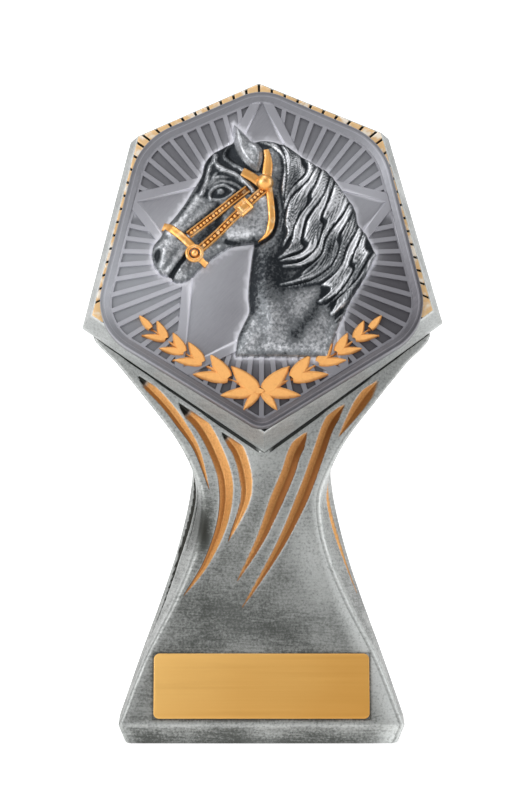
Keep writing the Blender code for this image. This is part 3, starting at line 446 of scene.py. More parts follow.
@dataclass(frozen=True)
class HorseSilver:
    """Black wash and bright silver of the horse, set by how deep each place lies, with painted highlights."""

    dark: Triple = (0.010, 0.013, 0.017)
    middle: Triple = (0.155, 0.165, 0.175)
    bright: Triple = (0.66, 0.67, 0.70)

    def material(self, name: str) -> bpy.types.Material:
        """The node material; it reads the horse's tone attribute, 0 in hollows and 1 on crests and painted
        highlights.
        """
        board = NodeBoard(name)
        speckle = board.noise(board.mapped((1900, 1900, 1900)), 1.0, 5, 0.75)
        blotch = board.noise(board.mapped((420, 420, 420)), 1.0, 4, 0.65)
        tone = board.swing(board.attribute("patina_and_highlights"), speckle, 0.85)
        tone = board.swing(tone, blotch, 0.30)
        base = board.mix(board.ramp(tone, 0.0, 0.55), self.dark, self.middle)
        base = board.mix(board.ramp(tone, 0.48, 1.10), base, self.bright)
        board.bump(speckle, 0.00012, 0.5)
        return board.dress(base, board.ramp(tone, 0.0, 1.0, 0.5, 0.3), 0.7)


@dataclass(frozen=True)
class Gilding:
    """Gold paint or gold sheet, with a browner tone where it lies low and where shade is painted on its sides
    and undersides, and with painted glints.
    """

    bright: Triple = (0.74, 0.38, 0.13)
    deep: Triple = (0.30, 0.115, 0.025)
    glint: Triple = (1.0, 0.78, 0.46)
    glints: float = 0.5
    roughness: float = 0.34
    metallic: float = 0.75
    grain: float = 900.0
    cloud_grain: float = 260.0

    def material(self, name: str) -> bpy.types.Material:
        """The node material; it reads the attribute low, 1 in the hollows and in the darkest painted shade.
        """
        board = NodeBoard(name)
        speckle = board.noise(board.mapped((self.grain, self.grain, self.grain)), 1.0, 5, 0.65)
        cloud = board.noise(board.mapped((self.cloud_grain,) * 3), 1.0, 3, 0.5)
        tone = board.swing(board.attribute("low"), speckle, 0.7)
        tone = board.swing(tone, cloud, 0.4)
        base = board.mix(board.ramp(tone, -0.1, 0.9), self.bright, self.deep)
        base = board.mix(board.math("MULTIPLY", board.ramp(cloud, 0.50, 0.64), self.glints), base, self.glint)
        board.bump(speckle, 0.00005, 0.4)
        return board.dress(
            base, board.ramp(speckle, 0.3, 0.7, self.roughness - 0.05, self.roughness + 0.12),
            self.metallic,
        )


@dataclass(frozen=True)
class PlateGold:
    """Satin gold sheet of the engraving plate, brushed along its length, with painted light: paler towards
    its upper left, shaded towards its lower right.
    """

    pale: Triple = (0.84, 0.50, 0.150)
    shaded_gold: Triple = (0.68, 0.34, 0.070)

    def material(self, name: str) -> bpy.types.Material:
        """The node material."""
        board = NodeBoard(name)
        brush = board.noise(board.mapped((25, 2200, 2200)), 1.0, 3, 0.5)
        cloud = board.noise(board.mapped((22, 22, 30)), 1.0, 2, 0.5)
        split = board.node("ShaderNodeSeparateXYZ")
        board.join(board.place, split.inputs[0])
        # Painted light: paler towards the upper left, shaded towards the lower right.
        fall = board.math(
            "ADD", board.math("MULTIPLY", split.outputs["X"], -9.0),
            board.math("MULTIPLY", split.outputs["Z"], 14.0),
        )
        tone = board.swing(fall, cloud, 0.6)
        tone = board.swing(tone, brush, 0.18)
        base = board.mix(board.ramp(tone, -0.1, 0.6), self.shaded_gold, self.pale)
        board.bump(brush, 0.00001, 0.2)
        return board.dress(base, board.ramp(brush, 0.3, 0.7, 0.36, 0.44), 0.55)


# Head


@dataclass(frozen=True)
class LeaningHead:
    """Place and outline of the six-sided head that leans back over the body."""

    lean: float = math.radians(14.0)
    askew: float = math.radians(0.85)
    forward: float = 9.0 * MM
    height: float = 138.54 * MM
    reach: Triple = (50.5 * MM, 46.3 * MM, 45.2 * MM)
    slope_depth: float = 9.0 * MM
    facing: Triple = (math.radians(66.0), math.radians(14.2), math.radians(-54.3))

    def place(self, u: object, v: object, w: object, askew: float | None = None) -> Array:
        """World points of places on the head.

        Args:
            u: Across the head.
            v: Up the head.
            w: Out from its ledge.
            askew: Turn in the head's own plane; the head's own where it is left out.

        Returns:
            The world points, one per row.
        """
        u, v, w = (np.asarray(value, float) for value in np.broadcast_arrays(u, v, w))
        turn = self.askew if askew is None else askew
        across = u * math.cos(turn) - v * math.sin(turn)
        up = u * math.sin(turn) + v * math.cos(turn)
        return np.stack([
            across,
            -self.forward + up * math.sin(self.lean) - w * math.cos(self.lean),
            self.height + up * math.cos(self.lean) + w * math.sin(self.lean),
        ], axis=-1)

    def local(self, points: Array) -> tuple[Array, Array, Array]:
        """Places on the head, across, up and out, of world points."""
        y, z = points[..., 1] + self.forward, points[..., 2] - self.height
        up = y * math.sin(self.lean) + z * math.cos(self.lean)
        u = points[..., 0] * math.cos(self.askew) + up * math.sin(self.askew)
        v = up * math.cos(self.askew) - points[..., 0] * math.sin(self.askew)
        return u, v, -y * math.cos(self.lean) + z * math.sin(self.lean)

    def below_lower_edge(self, points: Array) -> Array:
        """How far world points lie outside the head's two lower edges."""
        u, v, _ = self.local(points)
        return np.abs(u) * math.cos(self.facing[2]) + v * math.sin(self.facing[2]) - self.reach[2]

    def corners(self, top: float, side: float, lower: float) -> list[Spot]:
        """The six corners, clockwise from the top, each edge drawn in by its own amount."""
        def meeting(a: int, b: int, inset_a: float, inset_b: float) -> Array:
            rows = np.array([[math.cos(self.facing[i]), math.sin(self.facing[i])] for i in (a, b)])
            return np.linalg.solve(rows, [self.reach[a] - inset_a, self.reach[b] - inset_b])

        shoulder, hip = meeting(0, 1, top, side), meeting(1, 2, side, lower)
        apex = (0.0, (self.reach[0] - top) / math.sin(self.facing[0]))
        tip = (0.0, (self.reach[2] - lower) / math.sin(self.facing[2]))
        return [apex, tuple(shoulder), tuple(hip), tip, (-hip[0], hip[1]), (-shoulder[0], shoulder[1])]


@dataclass
class HeadCasting:
    """The silver frame of the head, with its slope, outer edge and tapered back."""

    head: LeaningHead
    thickness: float = 18.5 * MM
    back_taper: float = 6.0 * MM
    edge_land: float = 1.2 * MM
    slopes: Triple = (2.0 * MM, 2.7 * MM, 2.8 * MM)
    ledge_drop: float = 0.55 * MM
    bevel: float = 0.45 * MM

    def build(self) -> Piece:
        """Cut and bevel the frame from a six-sided block."""
        rings = [
            (-self.thickness, (self.back_taper,) * 3),
            (-self.head.slope_depth - self.edge_land, (0.0,) * 3),
            (-self.head.slope_depth, (0.0,) * 3),
            (0.0, self.slopes),
            (0.0, tuple(slope + 0.3 * MM for slope in self.slopes)),
            (-self.ledge_drop, tuple(slope + 0.5 * MM for slope in self.slopes)),
        ]
        vertices = [self.head.place(u, v, w) for w, insets in rings for u, v in self.head.corners(*insets)]
        faces = [tuple(range(6)), tuple(range(30, 36))]
        for row in range(5):
            faces += [
                (row * 6 + i, row * 6 + (i + 1) % 6, row * 6 + 6 + (i + 1) % 6, row * 6 + 6 + i)
                for i in range(6)
            ]
        piece = mesh_piece("head_casting", np.array(vertices), faces, 30)
        bevelled(piece, self.bevel, 3, 12)
        self.subdivide(piece)
        shade(piece, 40)
        self.mark_wear_and_light(piece)
        return piece

    @staticmethod
    def subdivide(piece: Piece) -> None:
        """Cut the long faces so that the marks of rubbed edges and painted shade have places to sit."""
        work = bmesh.new()
        work.from_mesh(piece.data)
        for _ in range(5):
            long_edges = [edge for edge in work.edges if edge.calc_length() > 1.6 * MM]
            if not long_edges:
                break
            bmesh.ops.subdivide_edges(work, edges=long_edges, cuts=1, use_grid_fill=True)
        bmesh.ops.triangulate(work, faces=[face for face in work.faces if len(face.verts) > 4])
        work.to_mesh(piece.data)
        work.free()

    def mark_wear_and_light(self, piece: Piece) -> None:
        """Mark the bright rubbed edges, and painted shade on the sunken seat under the insert."""
        places = np.array([vertex.co for vertex in piece.data.vertices])
        u, v, w = self.head.local(places)
        flat = np.stack([u, v], axis=1)
        depth = loop_distance(flat, np.array(self.head.corners(0, 0, 0)))
        sharp_edge = bell(w + self.head.slope_depth + 0.6 * MM, 0.9 * MM) * bell(depth, 0.8 * MM)
        ledge_edge = bell(w, 0.35 * MM)
        mark(piece, "wear_and_sheen", np.clip(0.85 * sharp_edge + 0.8 * ledge_edge, 0, 1))
        # Painted shade on the sunken seat under the insert, which also darkens the gaps of the gold band.
        mark(piece, "shade", np.where((w > -0.7 * MM) & (w < -0.3 * MM) & (depth > 1.5 * MM), 1.0, 0.0))
        mark(piece, "gilt", np.zeros(len(places)))


@dataclass
class GoldBand:
    """The gold band round the head's upper edges, in blocks with dark gaps between them."""

    head: LeaningHead
    frame: HeadCasting
    pitch: float = 4.15 * MM
    gap: float = 0.8 * MM
    fan_height: float = 9.5 * MM
    tail: float = 4.0 * MM
    top: float = 0.12 * MM
    depth: float = 8.0 * MM
    bevel: float = 0.16 * MM
    side_start: float = 0.45

    def build(self) -> Piece:
        """One bevelled block between each two gaps, both halves."""
        insets = tuple(slope + 0.25 * MM for slope in self.frame.slopes)
        apex, shoulder, hip, tip = (np.array(corner) for corner in self.head.corners(*insets)[:4])
        route = np.array([apex, shoulder, hip, hip + (tip - hip) / np.linalg.norm(tip - hip) * self.tail])
        lengths = np.r_[0, np.cumsum(np.linalg.norm(np.diff(route, axis=0), axis=1))]
        cuts = (
            list(np.arange(0, lengths[1], self.pitch))
            + list(np.arange(lengths[1] + self.pitch * self.side_start, lengths[2], self.pitch))
        )
        cuts.append(lengths[3])
        vertices, faces = [], []
        for side in (1, -1):
            for start, end in zip(cuts[:-1], cuts[1:]):
                places = [
                    start + self.gap / 2, *[corner for corner in lengths[1:3] if start < corner < end],
                    end - self.gap / 2,
                ]
                self.add_block(vertices, faces, route, lengths, places, side)
        piece = mesh_piece("gold_band", np.array(vertices), faces, 40)
        bevelled(piece, self.bevel, 2, 40)
        shade(piece, 40)
        mark(piece, "low", np.zeros(len(piece.data.vertices)))
        return piece

    def add_block(
        self, vertices: list, faces: list, route: Array, lengths: Array, places: list[float], side: int,
    ) -> None:
        """Add one block.

        Args:
            vertices: Vertex list to add to.
            faces: Face list to add to.
            route: The band's outer line.
            lengths: Distance along it of each of its points.
            places: Distances along the line of the block's outer corners.
            side: 1 for the right half, -1 for the left.
        """
        outer = [np.array([np.interp(place, lengths, route[:, i]) for i in range(2)]) for place in places]
        fan = np.array([0.0, self.fan_height])
        inner = [spot - (spot - fan) / np.linalg.norm(spot - fan) * self.depth for spot in outer]
        ring = outer + inner[::-1]
        first = len(vertices)
        for w in (-self.frame.ledge_drop - 0.1 * MM, self.top):
            vertices += [self.head.place(side * u, v, w) for u, v in ring]
        count = len(ring)
        faces += [tuple(first + i for i in range(count)), tuple(first + count + i for i in range(count))]
        faces += [
            (first + i, first + (i + 1) % count, first + count + (i + 1) % count, first + count + i)
            for i in range(count)
        ]


# Body


@dataclass(frozen=True)
class Slash:
    """One carved slash: its width, its centreline in shares, and how light falls on its two walls.

    The bottom is where its two walls meet, from -1 at the right rim to 1 at the left one. The walls say how
    dark the left and the right one are, the black start is the length at its top that holds no gold, and the
    line is how dark its left rim is.
    """

    width: float
    route: Route
    bottom: float = 0.2
    walls: Spot = (0.42, 0.0)
    black_start: float = 0.0
    line: float = 0.9
    gilding: float = 1.0


@dataclass
class BodyCasting:
    """Foot and waisted body as one fine mesh, with the groove under the head and the carved slashes."""

    head: LeaningHead
    foot_width: float = 82.6 * MM
    foot_depth: float = 60.0 * MM
    foot_edge: float = 5.6 * MM
    foot_steps: Route = (
        (0.0, 2.9), (0.12, 2.5), (0.5, 2.05), (0.9, 1.8), (2.4, 1.2), (3.8, 0.62), (4.6, 0.30), (5.1, 0.11),
        (5.4, 0.03),
    )
    groove: float = 1.35 * MM
    groove_floor: float = -11.8 * MM
    lip: float = 0.6 * MM
    rows: tuple[tuple[float, ...], ...] = (
        (0.000, 0.978, 1.000, 0.978, 1.000, 0.992, 0.000, 0.980, 1.000, 0.00),
        (0.171, 0.789, 0.837, 0.799, 0.822, 0.815, -0.033, 0.810, 0.830, -0.10),
        (0.306, 0.598, 0.704, 0.634, 0.690, 0.668, -0.070, 0.667, 0.690, -0.33),
        (0.412, 0.477, 0.611, 0.516, 0.607, 0.563, -0.103, 0.567, 0.593, -0.19),
        (0.492, 0.424, 0.554, 0.443, 0.558, 0.502, -0.123, 0.510, 0.543, -0.10),
        (0.571, 0.421, 0.510, 0.400, 0.510, 0.440, -0.133, 0.470, 0.507, -0.06),
        (0.633, 0.486, 0.494, 0.397, 0.472, 0.402, -0.133, 0.443, 0.480, -0.03),
        (0.695, 0.575, 0.553, 0.443, 0.425, 0.365, -0.123, 0.413, 0.453, 0.00),
        (0.810, 0.814, 0.780, 0.630, 0.342, 0.287, -0.107, 0.353, 0.383, 0.00),
        (0.900, 1.018, 0.979, 0.809, 0.270, 0.213, -0.114, 0.306, 0.328, 0.00),
        (0.974, 1.191, 1.150, 0.956, 0.210, 0.153, -0.120, 0.267, 0.283, 0.00),
        (1.050, 1.065, 1.030, 0.920, 0.167, 0.133, -0.033, 0.120, 0.140, 0.00),
    )
    radii: tuple[float, ...] = (
        6.0 * MM, 1.4 * MM, 2.0 * MM, 3.5 * MM, 3.0 * MM, 3.5 * MM, 2.0 * MM, 1.4 * MM,
    )
    front_slashes: tuple[Slash, ...] = (
        Slash(2.9 * MM, ((-0.969, 0.917), (-0.869, 0.873), (-0.683, 0.804), (-0.554, 0.743), (-0.448, 0.680),
                         (-0.363, 0.581)), black_start=3.6 * MM),
        Slash(4.3 * MM, ((-0.714, 0.848), (-0.581, 0.802), (-0.436, 0.754), (-0.324, 0.684), (-0.249, 0.598),
                         (-0.271, 0.500), (-0.387, 0.395), (-0.538, 0.316)), black_start=4.2 * MM),
        Slash(3.8 * MM, ((-0.395, 0.772), (-0.278, 0.728), (-0.169, 0.684), (-0.111, 0.613), (-0.119, 0.549),
                         (-0.232, 0.451)), black_start=2.6 * MM),
        Slash(4.0 * MM, ((0.414, 0.772), (0.315, 0.726), (0.232, 0.677), (0.184, 0.624), (0.107, 0.558),
                         (-0.010, 0.456), (-0.174, 0.349)), -0.05, (0.30, 0.95), line=0.5),
        Slash(3.6 * MM, ((0.690, 0.839), (0.576, 0.796), (0.475, 0.750), (0.392, 0.668), (0.286, 0.564),
                         (0.116, 0.434), (-0.140, 0.282)), -0.05, (0.30, 0.95), line=0.5),
        Slash(
            3.7 * MM, ((0.896, 0.899), (0.809, 0.856), (0.719, 0.815), (0.637, 0.771), (0.538, 0.715)), 0.1,
            (0.12, 0.6), line=0.3,
        ),
    )
    side_slashes: tuple[tuple[float, Slash], ...] = (
        (
            1.0,
            Slash(
                3.8 * MM, ((0.40, 0.63), (0.44, 0.598), (0.58, 0.504), (0.70, 0.420), (0.76, 0.300)), 0.35,
                (1.0, 0.0),
            ),
        ),
        # The left side's two slashes hold no gold and are painted dark: painted shadow, as that side lies in
        # shade.
        (-1.0, Slash(4.2 * MM, ((0.44, 0.665), (0.46, 0.642), (0.66, 0.502), (0.76, 0.407), (0.66, 0.290),
                                (0.55, 0.190)), gilding=0.0)),
        (
            -1.0,
            Slash(
                0.9 * MM, ((0.20, 0.62), (0.22, 0.60), (0.36, 0.53), (0.44, 0.46), (0.46, 0.40)),
                gilding=0.0,
            ),
        ),
    )
    slash_point: float = 4.6 * MM
    plate_seat: Triple = (30.5 * MM, 7.3 * MM, 25.1 * MM)
    counts: tuple[int, ...] = (40, 104, 10, 34, 6, 12, 7, 11)

    def climb(self) -> float:
        """Height from the foot's edge to the head's side corners."""
        hip = self.head.corners(0, 0, 0)[2]
        corner_height = hip[1] * math.cos(self.head.lean) - self.head.slope_depth * math.sin(self.head.lean)
        return self.head.height + corner_height - self.foot_edge

    def values(self, height: Array) -> Array:
        """The rows' numbers at given heights, on a smooth curve through the rows."""
        rows = np.array(self.rows)
        climb = np.clip((height - self.foot_edge) / self.climb(), rows[0, 0], rows[-1, 0])
        i = np.clip(np.searchsorted(rows[:, 0], climb, side="right") - 1, 0, len(rows) - 2)
        slopes = np.gradient(rows[:, 1:], rows[:, 0], axis=0)
        span = rows[i + 1, 0] - rows[i, 0]
        t = ((climb - rows[i, 0]) / span)[..., None]
        span = span[..., None]
        return (
            (1 + 2 * t) * (1 - t) ** 2 * rows[i, 1:] + t * (1 - t) ** 2 * span * slopes[i]
            + t**2 * (3 - 2 * t) * rows[i + 1, 1:] - t**2 * (1 - t) * span * slopes[i + 1]
        )

    def corners(self, height: Array) -> Array:
        """The eight corner points of the section, first axis round from the front ridge."""
        columns = np.moveaxis(self.values(height), -1, 0)
        ridge_x, side_x, back_x, front_y, ridge_y, side_y, corner_y, rear_y, drift = columns
        half_width, half_depth = self.foot_width / 2, self.foot_depth / 2
        right = [(ridge_x, -ridge_y), (side_x, -side_y), (back_x, corner_y)]
        left = [(-x, y) for x, y in reversed(right)]
        loop = [(drift * ridge_x, -front_y), *right, (np.zeros_like(rear_y), rear_y), *left]
        return np.stack([np.stack([x * half_width, y * half_depth], axis=-1) for x, y in loop])

    def columns(self) -> list[tuple[str, int, float]]:
        """What each column of vertices is: a share of a rounded corner or of a flat between two corners."""
        arc_front, flat_front, arc_ridge, flat_side, arc_side, flat_back, arc_back, flat_rear = self.counts
        arcs = (arc_front, arc_ridge, arc_side, arc_back, 4, arc_back, arc_side, arc_ridge)
        flats = (flat_front, flat_side, flat_back, flat_rear, flat_rear, flat_back, flat_side, flat_front)
        found = []
        for i in range(8):
            found += [("arc", i, t) for t in np.linspace(0, 1, arcs[i])]
            found += [("flat", i, t) for t in np.linspace(0, 1, flats[i] + 2)[1:-1]]
        return found

    def section(self, height: Array) -> Array:
        """World points for heights given per row and column."""
        corners = self.corners(height)
        back = np.roll(corners, 1, axis=0) - corners
        ahead = np.roll(corners, -1, axis=0) - corners
        radii = np.array(self.radii).reshape(8, 1, 1, 1)
        back_length = np.linalg.norm(back, axis=-1, keepdims=True)
        ahead_length = np.linalg.norm(ahead, axis=-1, keepdims=True)
        starts = corners + back / back_length * np.minimum(radii, 0.4 * back_length)
        ends = corners + ahead / ahead_length * np.minimum(radii, 0.4 * ahead_length)
        flat = np.zeros((*height.shape, 2))
        for c, (kind, i, t) in enumerate(self.columns()):
            if kind == "arc":
                flat[:, c] = (1 - t) ** 2 * starts[i][:, c] + 2 * t * (1 - t) * corners[i][:, c]
                flat[:, c] += t**2 * ends[i][:, c]
            else:
                flat[:, c] = (1 - t) * ends[i][:, c] + t * starts[(i + 1) % 8][:, c]
        return np.concatenate([flat, height[..., None]], axis=-1)

    def heights_below_edge(self, distances: Array) -> Array:
        """Heights at which each column lies given distances below the head's lower edges."""
        count = len(self.columns())
        low = np.full((len(distances), count), 60 * MM)
        high = np.full((len(distances), count), 123.5 * MM)
        for _ in range(16):
            middle = (low + high) / 2
            under = self.head.below_lower_edge(self.section(middle)) > distances[:, None]
            low, high = np.where(under, middle, low), np.where(under, high, middle)
        return (low + high) / 2

    def grid(self) -> Array:
        """Vertex places before carving: foot, body, lip, groove and the part inside the head."""
        inner = self.groove + self.lip
        levels = (
            np.array([0.15, 0.05, 0.0, -0.1, -0.25, -0.4, -0.58, -0.7, -0.8, -0.92, -1.15, -1.4, -1.6]) * MM
            + inner
        )
        near = self.heights_below_edge(levels)
        top = self.foot_edge + self.rows[-1][0] * self.climb()
        t = np.linspace(0, 1, 186)[:, None]
        mean = near[0].mean()
        below = self.foot_edge + (mean - self.foot_edge) * t + (near[0] - mean) * t**3
        above = near[-1] + (top - near[-1]) * np.linspace(0, 1, 26)[1:, None]
        heights = np.concatenate([below[:-1], near, above])
        body = self.section(heights)
        edge = self.section(np.full((1, body.shape[1]), self.foot_edge))[0]
        foot = []
        for height, inset in self.foot_steps:
            shrink = np.array([1 - 2 * inset * MM / self.foot_width, 1 - 2 * inset * MM / self.foot_depth])
            foot.append(np.concatenate([edge[:, :2] * shrink, np.full((len(edge), 1), height * MM)], axis=1))
        return np.concatenate([np.array(foot), body])

    def slash_line(self, slash: Slash, side: float = 0.0) -> Array:
        """World centreline of a slash on the front, or on one narrow side."""
        route = smooth_curve(np.array(slash.route), 10)[10:]
        heights = self.foot_edge + route[:, 1] * self.climb()
        corners = self.corners(heights)
        if side:
            spot = corners[1] + route[:, :1] * (corners[2] - corners[1])
            return np.column_stack([side * spot[:, 0], spot[:, 1], heights])
        x = route[:, 0] * self.foot_width / 2
        near = np.where((x > corners[0][:, 0])[:, None], corners[1], corners[7])
        share = (x - corners[0][:, 0]) / (near[:, 0] - corners[0][:, 0])
        return np.column_stack([x, corners[0][:, 1] + share * (near[:, 1] - corners[0][:, 1]), heights])

    @staticmethod
    def beside(points: Array, normals: Array, line: Array) -> tuple[Array, Array]:
        """Signed distance across a slash, and the share along it, of points near its centreline."""
        lengths = np.r_[0, np.cumsum(np.linalg.norm(np.diff(line, axis=0), axis=1))]
        best = np.full(len(points), np.inf)
        share, side = np.zeros(len(points)), np.ones(len(points))
        for i, (a, b) in enumerate(zip(line[:-1], line[1:])):
            run = b - a
            t = (points - a) @ run / (run @ run)
            if i:
                t = np.maximum(t, 0)
            if i < len(line) - 2:
                t = np.minimum(t, 1)
            off = points - (a + t[:, None] * run)
            distance = np.linalg.norm(off, axis=1)
            nearer = distance < best
            best[nearer] = distance[nearer]
            share[nearer] = (lengths[i] + t[nearer] * (lengths[i + 1] - lengths[i])) / lengths[-1]
            across = np.cross(run, normals[nearer])
            side[nearer] = np.where((off[nearer] * across).sum(axis=1) > 0, 1, -1)
        return best * side, share

    def carve(self, slash: Slash, side: float, surface: tuple[Array, ...], marks: dict[str, Array]) -> None:
        """Carve one slash: add its depth, gold, bright rims, dark lines and the painted shade of its walls to
        the marks.

        Args:
            slash: The slash.
            side: 0 on the front, or the sign of the narrow side that it lies on.
            surface: Points, their normals, and how far they lie below the head's edge.
            marks: Depth, gilt, bright rubbing and highlights, and shade of each point.
        """
        points, normals, below = surface
        line = self.slash_line(slash, side)
        length = np.linalg.norm(np.diff(line, axis=0), axis=1).sum()
        low, high = line.min(axis=0) - 8 * MM, line.max(axis=0) + 8 * MM
        near = np.flatnonzero(((points > low) & (points < high)).all(axis=1) & (below > self.groove * 0.6))
        across, share = self.beside(points[near], normals[near], line)
        start = np.clip(share * length / self.slash_point, 0, 1) ** 0.7
        half = slash.width / 2 * np.minimum(1, np.maximum(1 - share, 0) / 0.55) ** 0.8 * start
        half = np.maximum(half, 0.02 * MM)
        offset = across / half
        left = step(offset, slash.bottom - 0.16, slash.bottom + 0.16)
        inside = np.clip(
            np.where(
                offset > slash.bottom, (1 - offset) / (1 - slash.bottom), (1 + offset) / (1 + slash.bottom),
            ),
            0, 1,
        )
        clear_of_lip = step(
            below[near], self.groove + self.lip - 0.05 * MM, self.groove + self.lip + 0.12 * MM,
        )
        fade = clear_of_lip * (share < 1.0) * (share > 0.0)
        depth = 0.86 * np.minimum(half, 1.9 * MM) * (1 - np.sqrt((1 - inside) ** 2 + 0.012)) / 0.89 * fade
        off_rim = np.abs(across) - half
        strength = np.clip(half / (1.0 * MM), 0, 1) * fade
        rim = bell(off_rim - 0.22 * MM, 0.26 * MM) * strength
        soft_rim = bell(np.maximum(off_rim, 0), 1.5 * MM) * (off_rim > 0) * strength
        marks["depth"][near] = np.maximum(marks["depth"][near], depth)
        marks["depth"][near] -= 0.06 * MM * rim * (marks["depth"][near] <= 0)
        floor = step(1.02 - np.abs(offset), 0.0, 0.14) * fade
        filled = step(
            share * length, slash.black_start - 0.8 * MM, slash.black_start + 0.8 * MM,
        ) if slash.black_start else 1.0
        marks["gilt"][near] = np.maximum(marks["gilt"][near], floor * filled * slash.gilding)
        marks["wear_and_sheen"][near] = np.maximum(marks["wear_and_sheen"][near], np.maximum(0.62 * rim, 0.34 * soft_rim))
        # Painted shade on the slash: each wall darkened by how light falls on it, with a dark line inside the
        # left rim, a darker lower tip, and black where it holds no gold.
        tone = left * slash.walls[0] + (1 - left) * slash.walls[1]
        on_left_rim = bell((offset - 0.96) * half, 0.20 * MM) * step(share, 0.25, 0.5)
        tip = step(share, 0.9, 0.99)
        within = np.abs(offset) < 1
        unfilled = 1.0 - filled * slash.gilding
        tone = np.maximum.reduce([tone * within, slash.line * on_left_rim, tip * within, unfilled * within])
        marks["shade"][near] = np.maximum(marks["shade"][near], tone * fade)

    def build(self) -> Piece:
        """The carved body with its marks of rubbing, painted light and painted shade."""
        grid = self.grid()
        rows, count, _ = grid.shape
        normals = np.cross(np.roll(grid, -1, axis=1) - np.roll(grid, 1, axis=1), np.gradient(grid, axis=0))
        normals /= np.maximum(np.linalg.norm(normals, axis=-1, keepdims=True), 1e-12)
        outward = grid * (1, 1, 0)
        normals *= np.where((normals * outward).sum(axis=-1, keepdims=True) < 0, -1, 1)
        points, flat_normals = grid.reshape(-1, 3), normals.reshape(-1, 3)
        below = self.head.below_lower_edge(points)
        marks = {name: np.zeros(len(points)) for name in ("depth", "gilt", "wear_and_sheen", "shade")}
        for side, slash in [(0.0, slash) for slash in self.front_slashes] + list(self.side_slashes):
            self.carve(slash, side, (points, flat_normals, below), marks)
        carved, marks["shade"] = self.cut_groove(
            points - flat_normals * marks["depth"][:, None], below, marks["shade"],
        )
        self.mark_wear_and_light(points, below, marks, rows)
        piece = mesh_piece("body_casting", carved, tube_faces(rows, count), 60)
        for name in ("gilt", "wear_and_sheen", "shade"):
            mark(piece, name, marks[name])
        return piece

    def mark_wear_and_light(self, points: Array, below: Array, marks: dict[str, Array], rows: int) -> None:
        """Bright lip, ridges, foot edge and middle stripe, painted sheen and highlight, painted shade and
        shadow, and two darker patches.
        """
        x, y, z = points.T
        front = y < 0
        lip = bell(below - self.groove - self.lip * 0.45, 0.55 * MM) * (self.head.local(points)[2] > -13 * MM)
        foot_edge = bell(z - self.foot_edge, 0.8 * MM)
        # Painted sheen: the upper body is made lighter.
        upper = 0.46 * step(z, 60 * MM, 84 * MM)
        middle = 0.26 * bell(
            x + 4.2 * MM + 0.16 * (72 * MM - z), 2.6 * MM,
        ) * step(z, 48 * MM, 66 * MM) * front
        # Painted highlight: a broad bright patch on the front's right half, near the right ridge.
        painted_highlight = 0.62 * bell(
            x - 15 * MM - 0.25 * (52 * MM - z), 7 * MM,
        ) * bell(z - 52 * MM, 17 * MM) * front
        marks["wear_and_sheen"] = np.maximum.reduce([
            marks["wear_and_sheen"], 0.55 * lip, self.ridge_wear_and_sheen(rows, z), 0.45 * foot_edge, upper + middle, painted_highlight,
        ])
        # Painted shade low on the foot.
        foot = 0.40 * step(-z, -4.5 * MM, -0.5 * MM)
        # Two darker patches on the front, left of the second slash and lower down; they also dim the bright
        # marks there.
        dark_patch = 0.90 * bell(x + 16.5 * MM, 3.0 * MM) * bell(z - 60 * MM, 10 * MM)
        dim_patch = 0.26 * bell(x + 6 * MM, 22 * MM) * bell(z - 34 * MM, 13 * MM)
        dark_patch = np.maximum(dark_patch, dim_patch) * front * (marks["gilt"] < 0.1)
        marks["wear_and_sheen"] *= 1 - 1.4 * np.clip(dark_patch, 0, 0.7)
        half_width, bottom, top = self.plate_seat
        off_plate = np.maximum.reduce([np.abs(x) - half_width, bottom - z, z - top])
        # Painted shadow of the plate: a dark line on the body round its edge, where the bright marks are
        # dimmed too.
        plate_shadow = 0.75 * bell(off_plate - 0.2 * MM, 0.4 * MM) * (y < -18 * MM)
        marks["wear_and_sheen"] *= 1 - plate_shadow
        marks["shade"] = np.maximum.reduce([marks["shade"], foot, dark_patch, plate_shadow])

    def cut_groove(self, points: Array, below: Array, shade_marks: Array) -> tuple[Array, Array]:
        """Push the surface back in the groove and inside the head.

        Args:
            points: The surface's points.
            below: How far each lies below the head's lower edge.
            shade_marks: Their shade marks.

        Returns:
            The new points and shade marks.
        """
        u, _, w = self.head.local(points)
        across = np.abs(u) / MM
        at_tip = step(across, 1.2, 2.6)
        width = self.groove * np.interp(
            across, (0, 3, 12, 25, 36, 44, 49), (0.75, 0.75, 0.68, 0.50, 0.36, 0.20, 0.06),
        )
        inside = (1 - step(below, width - 0.12 * MM, width)) * np.where(below > 0.2 * MM, at_tip, 1)
        back = np.clip(w - self.groove_floor, 0, None) * inside
        normal = self.head.place(0, 0, 1, 0) - self.head.place(0, 0, 0, 0)
        # The groove is painted dark: painted shadow under the head's edge.
        in_groove = inside * (w > self.groove_floor)
        return points - normal * back[:, None], np.maximum(shade_marks, 0.86 * in_groove)

    def ridge_wear_and_sheen(self, rows: int, heights: Array) -> Array:
        """Soft bright rubbing along the front corner ridges, with painted highlight that makes it stronger on
        the right one and low down.
        """
        rub_and_sheen = []
        for kind, i, t in self.columns():
            strong = {1: 0.95, 7: 0.50, 2: 0.3, 6: 0.3, 3: 0.3, 5: 0.3, 0: 0.08}.get(i, 0.0)
            if kind == "arc":
                rub_and_sheen.append(strong * (0.35 + 0.65 * math.sin(math.pi * t)))
                continue
            before = strong * 0.55 * math.exp(-((t / 0.05) ** 2))
            after = {1: 0.95, 7: 0.50}.get((i + 1) % 8, 0.0) * 0.95 * math.exp(-(((1 - t) / 0.15) ** 2))
            rub_and_sheen.append(max(before, after))
        return np.tile(rub_and_sheen, (rows, 1)).ravel() * (0.55 + 0.45 * step(-heights, -105 * MM, -70 * MM))


# Insert


